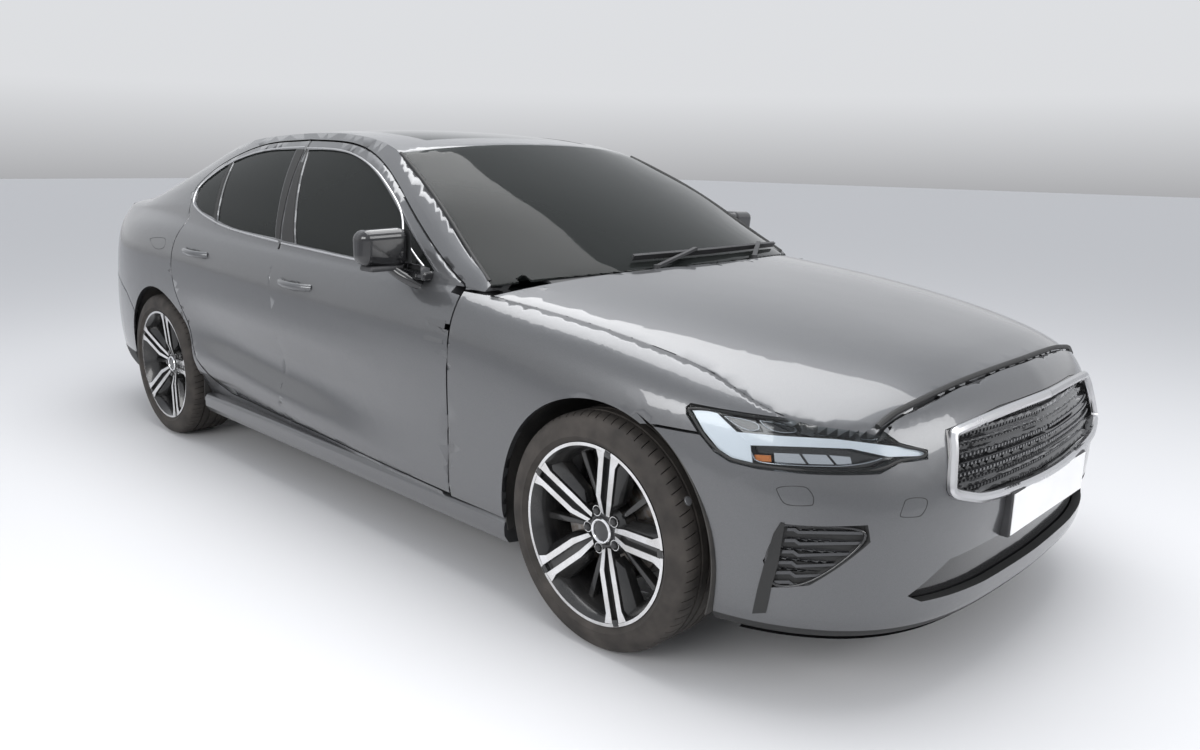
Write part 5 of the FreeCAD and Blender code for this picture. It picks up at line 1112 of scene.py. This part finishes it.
class CAR_OT_front(bpy.types.Operator):
    """Build the grille, the blank plate, the bumper's covers and the black slats in its corners"""
    bl_idname = "car.front"
    bl_label = "Fit Front End"

    def execute(self, context):
        self.grille()
        trim = node_copy("bumper_trim", "bumper_trim_piece")
        painted(trim, "gloss_black", "slat_edge")
        # The upward faces of the corner slats take the lighter slat grey: a painted highlight on their tops
        for face in trim.data.polygons:
            low, high = TRIM_CORNER_HEIGHTS
            in_corner = abs(face.center.y) > TRIM_CORNER_FROM and low < face.center.z < high
            face.material_index = 1 if in_corner and face.normal.z > 0.7 else 0
        evened(trim)
        placed(trim, "body", ["bumper_trim"])
        bumper = surface_of("front_bumper", "bumper_trim", "front_wing_right")
        closed = filled("front_bumper", CORNER_FILL)
        pieces = [
            painted(draped("corner_back", CORNER_OPENING, closed, 0.010, 0.002), "seal_rubber"),
            painted(draped("corner_blade", CORNER_BLADE, closed, -0.002, 0.005, 4), "seal_rubber"),
            painted(line_on("washer_cover", WASHER_COVER, bumper, SHUT_LINE_RADIUS), "seal_rubber"),
            painted(line_on("tow_cover", TOW_COVER, bumper, SHUT_LINE_RADIUS), "seal_rubber"),
        ]
        for outline in CORNER_SLATS:
            pieces.append(painted(draped("corner_slat", outline, closed, 0.004, 0.005, 8), "slat_edge"))
        rim = CORNER_OPENING + CORNER_OPENING[:1]
        pieces.append(painted(line_on("corner_rim", rim, closed, 0.0035, 0.001), "gloss_black"))
        spot, way, normal = seen(bumper, *FRONT_SENSOR)
        outwards = normal if normal.dot(way) < 0 else -normal
        turn = outwards.to_track_quat("Z", "Y").to_euler()
        bpy.ops.mesh.primitive_cylinder_add(vertices=32, radius=SENSOR_RADIUS, depth=0.004, location=spot,
                                            rotation=turn)
        sensor = joined("sensor", [bpy.context.object])
        rounded(sensor, 0.0008, 2)
        pieces.append(painted(sensor, "metallic_paint"))
        bpy.ops.mesh.primitive_torus_add(major_radius=SENSOR_RADIUS + 0.0003, minor_radius=0.0012,
                                         major_segments=32, minor_segments=8, location=spot, rotation=turn)
        pieces.append(painted(joined("sensor_ring", [bpy.context.object]), "seal_rubber"))
        on_both_sides("bumper_covers", pieces, "body")
        line = [Vector(spot) + BONNET_SEAL_LIFT for spot in BONNET_SEAL]
        seal = painted(rod("bonnet_seal", line, BONNET_SEAL_RADIUS), "seal_rubber")
        on_both_sides("bonnet_seals", [seal], "body")
        placed(number_plate("front_plate", *FRONT_PLATE, 1), "body")
        return {"FINISHED"}

    def grille(self):
        """The satin frame round rows of short bars on a black panel."""
        shape = surface_of("grille")
        dressed("grille", "grille_panel", "gloss_black", "body")
        right = [from_ahead(shape, -across, height) for across, height in GRILLE_RIM]
        left = [Vector((p.x, -p.y, p.z)) for p in reversed(right[1:-1])]
        ring = right + left + right[:1]
        frame_piece = rod("grille_frame", [p + Vector((0.001, 0, 0)) for p in ring], GRILLE_FRAME_RADIUS)
        pieces = [painted(frame_piece, "satin_metal")]
        for row in range(GRILLE_ROWS):
            height = GRILLE_ROW_TOP - GRILLE_ROW_STEP * row
            reach = row_reach(height)
            count = int(GRILLE_TEETH * reach / GRILLE_HALF)
            for i in range(-count, count + 1):
                across = reach * i / count
                if abs(across) < 0.001 and row % 2:
                    continue
                spot = from_ahead(shape, across, height)
                pieces.append(painted(block("tooth", spot + TOOTH_LOW, spot + TOOTH_HIGH), "slat_edge"))
        made = joined("grille_mesh", pieces)
        smooth(made, 40)
        placed(made, "body")


# Sides: mirrors, handles, window strips, pillar covers and the fuel flap

BELT_FRONT = [(0.54, 0.961), (0.300, 0.966), (0.0, 0.977), (-0.148, 0.983), (-0.246, 0.986)]
BELT_REAR = [
    (-0.268, 0.989), (-0.600, 1.004), (-0.795, 1.022), (-0.878, 1.035), (-1.000, 1.054), (-1.120, 1.084),
    (-1.164, 1.104), (-1.193, 1.146), (-1.193, 1.172), (-1.155, 1.214), (-1.104, 1.251), (-1.036, 1.284),
    (-1.010, 1.291), (-0.841, 1.331), (-0.648, 1.346), (-0.494, 1.350), (-0.428, 1.351),
]
TOP_FRONT = [
    (-0.408, 1.349), (-0.243, 1.348), (-0.055, 1.334), (0.152, 1.283), (0.313, 1.215), (0.464, 1.136),
    (0.609, 1.055), (0.722, 0.984),
]
PILLAR_FRONT = [(-0.157, 0.994), (-0.246, 0.997), (-0.412, 1.343), (-0.393, 1.338)]
PILLAR_REAR = [(-0.266, 1.000), (-0.298, 1.002), (-0.484, 1.342), (-0.424, 1.342)]
PILLAR_QUARTER = [(-0.849, 1.042), (-0.874, 1.046), (-1.031, 1.274), (-1.012, 1.281)]
HINGE_COVER_REACH, HINGE_COVER_HEIGHTS, HINGE_COVER_STEPS = (0.790, 0.886), (0.766, 0.836), 12
OUTSIDE_CAR, INSIDE_MIRROR, SHOULDER = -1.3, -0.875, -0.62
MIRROR_BACK, MIRROR_BELOW = 0.5, 0.93
MIRROR_HEAD = ((0.560, -1.026, 0.972), (0.664, -0.864, 1.102))
MIRROR_TAPER, MIRROR_RADIUS, MIRROR_STALK_RADIUS = 0.85, 0.032, 0.0195
MIRROR_BLOCKS = [
    ("mirror_glass", ((0.5565, -1.004, 0.992), (0.5640, -0.882, 1.082)), 0.0035, 3, "mirror_silver"),
    ("mirror_cover", ((0.566, -0.998, 0.966), (0.640, -0.876, 0.984)), 0.008, 4, "grained_plastic"),
    ("mirror_base", ((0.600, -0.872, 0.938), (0.734, -0.825, 0.968)), 0.010, 4, "gloss_black"),
]
WINDSCREEN_EDGE = [
    (0.960, -0.788, 0.954), (0.918, -0.779, 0.979), (0.796, -0.749, 1.051), (0.659, -0.715, 1.137),
    (0.522, -0.682, 1.212), (0.384, -0.645, 1.276), (0.300, -0.624, 1.312), (0.249, -0.612, 1.332),
]
FRONT_HANDLE = [(-0.128, 0.858), (-0.112, 0.858), (-0.060, 0.857), (0.010, 0.855), (0.070, 0.853), (0.088, 0.852)]
REAR_HANDLE = [(-0.985, 0.909), (-0.969, 0.909), (-0.915, 0.907), (-0.845, 0.904), (-0.790, 0.901), (-0.772, 0.900)]
HANDLE_LIFTS = (-0.006, 0.012, 0.030, 0.031, 0.012, -0.006)
HANDLE_RADIUS, HANDLE_INNER_RADIUS, HANDLE_INNER_SHIFT = 0.0135, 0.0085, Vector((0, 0.008, -0.004))
HANDLE_CUP = (0.052, 0.0035, 0.027)
STRIP_RADIUS, TOP_STRIP_RADIUS, SEAL_RADIUS = 0.0042, 0.0038, 0.007
COVER_LIFT, COVER_THICKNESS = 0.0018, 0.003


def beside(shape, x, height):
    """Where a shape is met from the right-hand side, or its nearest point beside that line."""
    start = INSIDE_MIRROR if x > MIRROR_BACK and height > MIRROR_BELOW else OUTSIDE_CAR
    return met(shape, (x, start, height), (0, 1, 0), (x, SHOULDER, height))


def side_rod(name, points, shape, radius):
    return rod(name, [beside(shape, x, z) for x, z in points], radius)


def side_skin(name, outline, shape, lift, thickness, rows=12):
    """A thin cover laid on the side inside an outline of (x, z)."""
    made = face_only(name, [(x, 0, z) for x, z in outline], (0, 1, 0))
    low = min(z for x, z in outline)
    high = max(z for x, z in outline)
    for i in range(1, rows):
        cut_line(made, (0, 0, low + (high - low) * i / rows), (0, 0, 1))
    for corner in made.data.vertices:
        corner.co = beside(shape, corner.co.x, corner.co.z) + Vector((0, -lift, 0))
    return thickened(made, thickness)


def hinge_cover(shape):
    """The door's skin in front of its upper hinge, laid between the skin below it and above it."""
    (back, ahead), (low, high) = HINGE_COVER_REACH, HINGE_COVER_HEIGHTS
    columns = [back + (ahead - back) * i / HINGE_COVER_STEPS for i in range(HINGE_COVER_STEPS + 1)]
    outline = [(x, low) for x in columns] + [(x, high) for x in reversed(columns)]
    return side_skin("hinge_cover", outline, shape, 0.0006, 0.0016, 1)


def mirror_piece(shape):
    """A door mirror: gloss head with its glass, a lower cover, and a stalk down to the door's shoulder."""
    head = block("mirror_head", *MIRROR_HEAD)
    back, middle = MIRROR_HEAD[0][0], (MIRROR_HEAD[0][2] + MIRROR_HEAD[1][2]) / 2
    for corner in head.data.vertices:
        if corner.co.y < -1.0:
            corner.co.z = middle + 0.004 + (corner.co.z - middle) * MIRROR_TAPER
            corner.co.x = back + (corner.co.x - back) * 0.82
        if corner.co.z < middle and corner.co.x > 0.6:
            corner.co.x -= 0.012
    rounded(head, MIRROR_RADIUS, 7)
    pieces = [painted(head, "gloss_black")]
    for name, corners, radius, segments, finish in MIRROR_BLOCKS:
        pieces.append(painted(soft_block(name, corners, radius, segments), finish))
    foot = beside(shape, 0.690, 0.925)
    line = [
        (0.606, -0.915, 0.985), (0.618, -0.905, 0.968), (0.660, foot.y - 0.028, 0.940),
        (0.690, foot.y + 0.006, 0.918),
    ]
    pieces.append(painted(rod("mirror_stalk", line, MIRROR_STALK_RADIUS), "gloss_black"))
    return pieces


def handle_pieces(points, shape):
    """A pull handle over a shallow cup."""
    spots = [beside(shape, x, z) + Vector((0, -lift, 0)) for (x, z), lift in zip(points, HANDLE_LIFTS)]
    grip = painted(rod("handle", spots, HANDLE_RADIUS), "metallic_paint")
    inner = rod("handle_inner", [spot + HANDLE_INNER_SHIFT for spot in spots[1:5]], HANDLE_INNER_RADIUS)
    painted(inner, "gloss_black")
    middle = beside(shape, (points[0][0] + points[-1][0]) / 2 - 0.005, points[2][1] - 0.013)
    bpy.ops.mesh.primitive_uv_sphere_add(segments=32, ring_count=16, radius=1, location=middle)
    cup = bpy.context.object
    cup.name = "handle_cup"
    cup.scale = HANDLE_CUP
    apply_all(cup)
    smooth(cup, 60)
    # The cup's darker paint is painted shade in the handle's recess
    painted(cup, "shaded_paint")
    return [grip, inner, cup]


class CAR_OT_sides(bpy.types.Operator):
    """Fit the mirrors, door handles, window strips, pillar covers and the fuel flap"""
    bl_idname = "car.sides"
    bl_label = "Fit Side Details"

    def execute(self, context):
        front, rear = surface_of("front_door_right"), surface_of("rear_door_right")
        trim = [
            painted(side_rod("belt", BELT_FRONT, front, STRIP_RADIUS), "satin_metal"),
            painted(side_rod("top", TOP_FRONT, front, TOP_STRIP_RADIUS), "satin_metal"),
            self.cover("pillar", PILLAR_FRONT, front), painted(hinge_cover(front), "metallic_paint"),
        ]
        trim += mirror_piece(front) + handle_pieces(FRONT_HANDLE, front)
        self.both_doors("front_door_trim", trim, "door_front")
        trim = [
            painted(side_rod("belt", BELT_REAR, rear, STRIP_RADIUS), "satin_metal"),
            self.cover("pillar", PILLAR_REAR, rear), self.cover("quarter", PILLAR_QUARTER, rear),
        ]
        self.both_doors("rear_door_trim", trim + handle_pieces(REAR_HANDLE, rear), "door_rear")
        seal = painted(rod("windscreen_seal", WINDSCREEN_EDGE, SEAL_RADIUS), "seal_rubber")
        on_both_sides("windscreen_seals", [seal], "body")
        flap = line_on("fuel_flap", FUEL_FLAP, surface_of("body_side_right"), SHUT_LINE_RADIUS)
        placed(painted(flap, "seal_rubber"), "body")
        return {"FINISHED"}

    def cover(self, name, outline, shape):
        return painted(side_skin(name, outline, shape, COVER_LIFT, COVER_THICKNESS), "seal_rubber")

    def both_doors(self, name, pieces, body):
        right = joined(name + "_right", pieces)
        left = copied(right, name + "_left", ACROSS)
        placed(right, body + "_right")
        placed(left, body + "_left")


# Rear end

REAR_GUIDE = [(0.575, 1.000), (0.640, 0.992), (0.676, 0.960), (0.688, 0.900), (0.684, 0.850), (0.664, 0.815)]
REAR_PLATE_HEIGHT = 0.620
BEHIND_CAR, TAIL = -3.0, -2.25


def from_behind(shape, across, height):
    """Where a shape is met from straight behind the car, or its nearest point beside that line."""
    return met(shape, (BEHIND_CAR, across, height), (1, 0, 0), (TAIL, across, height))


class CAR_OT_rear(bpy.types.Operator):
    """Fit the tail lamps' covers and light guides, and the blank rear plate"""
    bl_idname = "car.rear"
    bl_label = "Fit Rear End"

    def execute(self, context):
        dressed("tail_lamps", "tail_lamp_covers", "lamp_red", "body")
        lens = surface_of("tail_lamps")
        spots = [from_behind(lens, -across, height) for across, height in REAR_GUIDE]
        outer = painted(rod("guide", [s + Vector((-0.001, 0, 0)) for s in spots], 0.0055), "lamp_glow")
        on_both_sides("tail_lamp_guides", [outer], "body")
        bumper = surface_of("rear_bumper")
        spot = from_behind(bumper, 0.0, REAR_PLATE_HEIGHT)
        placed(number_plate("rear_plate", spot.x - 0.006, REAR_PLATE_HEIGHT, -1), "body")
        return {"FINISHED"}


# Cabin

SEAT_LINE = 0.380
CUSHION = [(-0.058, 0.308), (0.478, 0.333), (0.498, 0.440), (0.440, 0.468), (-0.020, 0.438), (-0.078, 0.458)]
BACK = [
    (-0.090, 0.424), (0.018, 0.452), (-0.132, 0.798), (-0.241, 0.988), (-0.300, 0.998), (-0.328, 0.940),
    (-0.180, 0.602),
]
REST = [(-0.262, 1.012), (-0.207, 1.032), (-0.241, 1.168), (-0.299, 1.178), (-0.328, 1.032)]
REAR_CUSHION = [(-0.332, 0.303), (-0.332, 0.468), (-0.400, 0.488), (-0.798, 0.448), (-0.798, 0.315), (-0.410, 0.303)]
REAR_BACK = [(-0.762, 0.442), (-0.928, 0.442), (-1.118, 0.940), (-1.060, 0.958), (-1.002, 0.938)]
REAR_REST = [(-1.098, 0.942), (-1.042, 0.942), (-1.052, 1.078), (-1.098, 1.078)]
CUSHION_SEAM = [(0.470, 0.455), (0.440, 0.4675), (0.200, 0.4530), (-0.020, 0.4385)]
BACK_SEAM = [(0.014, 0.460), (-0.055, 0.621), (-0.132, 0.797), (-0.205, 0.925)]
# Each pad's name, outline, half width, rounding and crown
FRONT_SEAT = [
    ("cushion", CUSHION, 0.249, 0.030, 0.10), ("back", BACK, 0.244, 0.028, 0.10), ("rest", REST, 0.129, 0.024, 0.12),
]
REAR_SEAT = [("rear_cushion", REAR_CUSHION, 0.638, 0.026, 0.06), ("rear_back", REAR_BACK, 0.608, 0.026, 0.06)]
REAR_REST_LINE, REAR_REST_HALF = 0.390, 0.109
# Each piece's name, place across, lower and upper edge, half width and finish
BOARD_PIECES = [
    ("centre_screen", 0.0, 0.640, 0.835, 0.072, "dark_screen"),
    ("vent_left", 0.560, 0.760, 0.815, 0.060, "gloss_black"),
    ("vent_right", -0.620, 0.760, 0.815, 0.050, "gloss_black"),
]
CLUSTER_HOUSING = ((-0.020, -0.075, 1.300), (0.110, 0.075, 1.345))
INSIDE_MIRROR_CORNERS = ((0.030, -0.115, 1.225), (0.052, 0.115, 1.290))
INSIDE_MIRROR_ARM = [(0.044, 0, 1.255), (0.060, 0, 1.285), (0.060, 0, 1.310)]
RAIL_OFFSET, RAIL_HALF = 0.195, 0.014
SEAM_OFFSET, SEAM_RADIUS = 0.135, 0.0013


def pad(name, outline, low, high, radius, crown):
    """A foam pad: a block between two sides, rounded and full in its middle, with softer flanks."""
    made = plate(name, [(x, low, z) for x, z in outline], (0, high - low, 0))
    for i in range(1, 10):
        cut_line(made, (0, low + (high - low) * i / 10, 0), (0, 1, 0))
    rounded(made, radius, 4, 30)
    middle = sum((corner.co for corner in made.data.vertices), Vector()) / len(made.data.vertices)
    for corner in made.data.vertices:
        share = abs(corner.co.y - middle.y) / ((high - low) / 2)
        squeeze = 1 - crown * share ** 3
        corner.co.x = middle.x + (corner.co.x - middle.x) * squeeze
        corner.co.z = middle.z + (corner.co.z - middle.z) * squeeze
    smooth(made, 50)
    painted(made, "seat_leather")
    placed(made, "body", ["seats"])
    return made


class CAR_OT_cabin(bpy.types.Operator):
    """Upholster the seats and fit the screen, the vents and the inside mirror"""
    bl_idname = "car.cabin"
    bl_label = "Dress Cabin"

    def execute(self, context):
        frames = []
        for side, sign in SIDES.items():
            line = sign * SEAT_LINE
            for name, outline, half, radius, crown in FRONT_SEAT:
                pad(f"{name}_{side}", outline, line - half, line + half, radius, crown)
            frames.append(painted(
                block("stems", (-0.297, line - 0.060, 0.985), (-0.273, line + 0.060, 1.034)), "cabin_plastic"))
            for middle in (line - RAIL_OFFSET, line + RAIL_OFFSET):
                rail = block("rail", (-0.038, middle - RAIL_HALF, 0.197), (0.428, middle + RAIL_HALF, 0.322))
                frames.append(painted(rail, "cabin_plastic"))
            for offset in (-SEAM_OFFSET, SEAM_OFFSET):
                for seam in (CUSHION_SEAM, BACK_SEAM):
                    thread = rod("seam", [(x, line + offset, z) for x, z in seam], SEAM_RADIUS)
                    frames.append(painted(thread, "seat_stitching"))
        placed(joined("seat_frames", frames), "body", ["seats"])
        for name, outline, half, radius, crown in REAR_SEAT:
            pad(name, outline, -half, half, radius, crown)
        for side, sign in SIDES.items():
            line = sign * REAR_REST_LINE
            pad(f"rear_rest_{side}", REAR_REST, line - REAR_REST_HALF, line + REAR_REST_HALF, 0.018, 0.12)
        self.dashboard()
        self.sensor_cluster()
        return {"FINISHED"}

    def dashboard(self):
        """A portrait screen and a vent on each side on the dashboard's rear face."""
        board = surface_of("dashboard")
        pieces = []
        for name, across, low, high, half, finish in BOARD_PIECES:
            foot, head = [met(board, (0.0, across, height), (1, 0, 0)).x - 0.003 for height in (low, high)]
            outline = [
                (foot, across - half, low), (foot, across + half, low), (head, across + half, high),
                (head, across - half, high),
            ]
            piece = plate(name, outline, (-0.008, 0, 0))
            rounded(piece, 0.003, 2)
            pieces.append(painted(piece, finish))
        placed(joined("dashboard_screens", pieces), "body")

    def sensor_cluster(self):
        """The dark housing behind the top of the windscreen, with the inside mirror below it."""
        housing = soft_block("housing", CLUSTER_HOUSING, 0.012, 3)
        mirror = soft_block("inside_mirror", INSIDE_MIRROR_CORNERS, 0.009, 3)
        arm = rod("mirror_arm", INSIDE_MIRROR_ARM, 0.008)
        placed(painted(joined("sensor_cluster", [housing, mirror, arm]), "cabin_plastic"), "body")


# Stage

# Each softbox's name, place, turn in degrees, width, height and power in watts
SOFTBOXES = [
    ("overhead_softbox", (0.4, 0.0, 4.2), (0, 0, 0), 5.5, 3.2, 190),
    ("side_softbox", (1.4, -5.2, 2.6), (64, 0, 12), 4.5, 1.6, 120),
    ("nose_softbox", (5.8, 0.6, 2.4), (66, 0, 96), 3.5, 1.6, 70),
]
# The room's colours by height, from 0 straight below to 1 overhead
BELOW_HORIZON, ABOVE_HORIZON = (0.47, (0.30, 0.30, 0.31, 1)), (0.53, (0.72, 0.73, 0.75, 1))
OVERHEAD = (1.0, (0.80, 0.83, 0.88, 1))
FLOOR_SIZE, FAR_CLIP = 90, 200


class CAR_OT_stage(bpy.types.Operator):
    """Set up the camera, the floor and the studio's light"""
    bl_idname = "car.stage"
    bl_label = "Set Stage"

    def execute(self, context):
        settings = car().car_stage
        place, ahead, right, top = eye()
        bpy.ops.object.select_all(action="DESELECT")
        bpy.ops.object.camera_add(location=settings.camera_place)
        camera = bpy.context.object
        camera.name = "photo_camera"
        turn = Matrix((right, top, -ahead)).transposed().to_4x4()
        camera.matrix_world = Matrix.Translation(place) @ turn
        camera.data.sensor_width = SENSOR_WIDTH
        camera.data.lens = settings.focal
        camera.data.clip_end = FAR_CLIP
        context.scene.camera = camera
        bpy.ops.mesh.primitive_plane_add(size=FLOOR_SIZE)
        floor = bpy.context.object
        floor.name = "studio_floor"
        plain("studio_floor", tuple(settings.floor), 0.6)
        painted(floor, "studio_floor")
        for lamp in SOFTBOXES:
            self.light(*lamp)
        world = context.scene.world or bpy.data.worlds.new("studio")
        context.scene.world = world
        world.use_nodes = True
        self.sky(world)
        context.scene.view_settings.view_transform = "Standard"
        return {"FINISHED"}

    def light(self, name, place, turn, width, height, power):
        bpy.ops.object.light_add(type="AREA", location=place, rotation=[math.radians(angle) for angle in turn])
        lamp = bpy.context.object
        lamp.name = name
        lamp.data.shape = "RECTANGLE"
        lamp.data.size = width
        lamp.data.size_y = height
        lamp.data.energy = power

    def sky(self, world):
        """An even pale room, a little darker below its horizon."""
        nodes, links = world.node_tree.nodes, world.node_tree.links
        nodes.clear()
        where = nodes.new("ShaderNodeTexCoord")
        split = nodes.new("ShaderNodeSeparateXYZ")
        ramp = nodes.new("ShaderNodeValToRGB")
        lift = nodes.new("ShaderNodeMapRange")
        lift.inputs["From Min"].default_value = -1
        backdrop = nodes.new("ShaderNodeBackground")
        output = nodes.new("ShaderNodeOutputWorld")
        stops = ramp.color_ramp.elements
        stops[0].position, stops[0].color = BELOW_HORIZON
        stops[1].position, stops[1].color = OVERHEAD
        stops.new(ABOVE_HORIZON[0]).color = ABOVE_HORIZON[1]
        links.new(where.outputs["Generated"], split.inputs[0])
        links.new(split.outputs["Z"], lift.inputs["Value"])
        links.new(lift.outputs["Result"], ramp.inputs["Fac"])
        links.new(ramp.outputs["Color"], backdrop.inputs["Color"])
        links.new(backdrop.outputs["Background"], output.inputs["Surface"])


OPERATORS = (
    CAR_OT_finishes, CAR_OT_panels, CAR_OT_panes, CAR_OT_kept, CAR_OT_wheels, CAR_OT_lamps, CAR_OT_front,
    CAR_OT_sides, CAR_OT_rear, CAR_OT_cabin, CAR_OT_stage,
)


class CAR_PT_dresser(bpy.types.Panel):
    """Buttons and settings for dressing the car"""
    bl_label = "Sedan Car"
    bl_idname = "CAR_PT_dresser"
    bl_space_type = "VIEW_3D"
    bl_region_type = "UI"
    bl_category = "Sedan Car"

    def draw(self, context):
        layout = self.layout
        for operator in OPERATORS:
            layout.operator(operator.bl_idname)
        for name, group in SETTINGS.items():
            box = layout.box()
            for field in group.__annotations__:
                box.prop(getattr(context.scene, name), field)


SETTINGS = {
    "car_paint": PaintSettings, "car_trim": TrimSettings, "car_glass": GlassSettings, "car_wheels": WheelSettings,
    "car_stage": StageSettings,
}


def register():
    for group in SETTINGS.values():
        bpy.utils.register_class(group)
    for name, group in SETTINGS.items():
        setattr(bpy.types.Scene, name, PointerProperty(type=group))
    for operator in OPERATORS:
        bpy.utils.register_class(operator)
    bpy.utils.register_class(CAR_PT_dresser)


def unregister():
    bpy.utils.unregister_class(CAR_PT_dresser)
    for operator in reversed(OPERATORS):
        bpy.utils.unregister_class(operator)
    for name in SETTINGS:
        delattr(bpy.types.Scene, name)
    for group in reversed(list(SETTINGS.values())):
        bpy.utils.unregister_class(group)


def main():
    register()
    for operator in OPERATORS:
        group, action = operator.bl_idname.split(".")
        getattr(getattr(bpy.ops, group), action)()


if __name__ == "__main__":
    main()
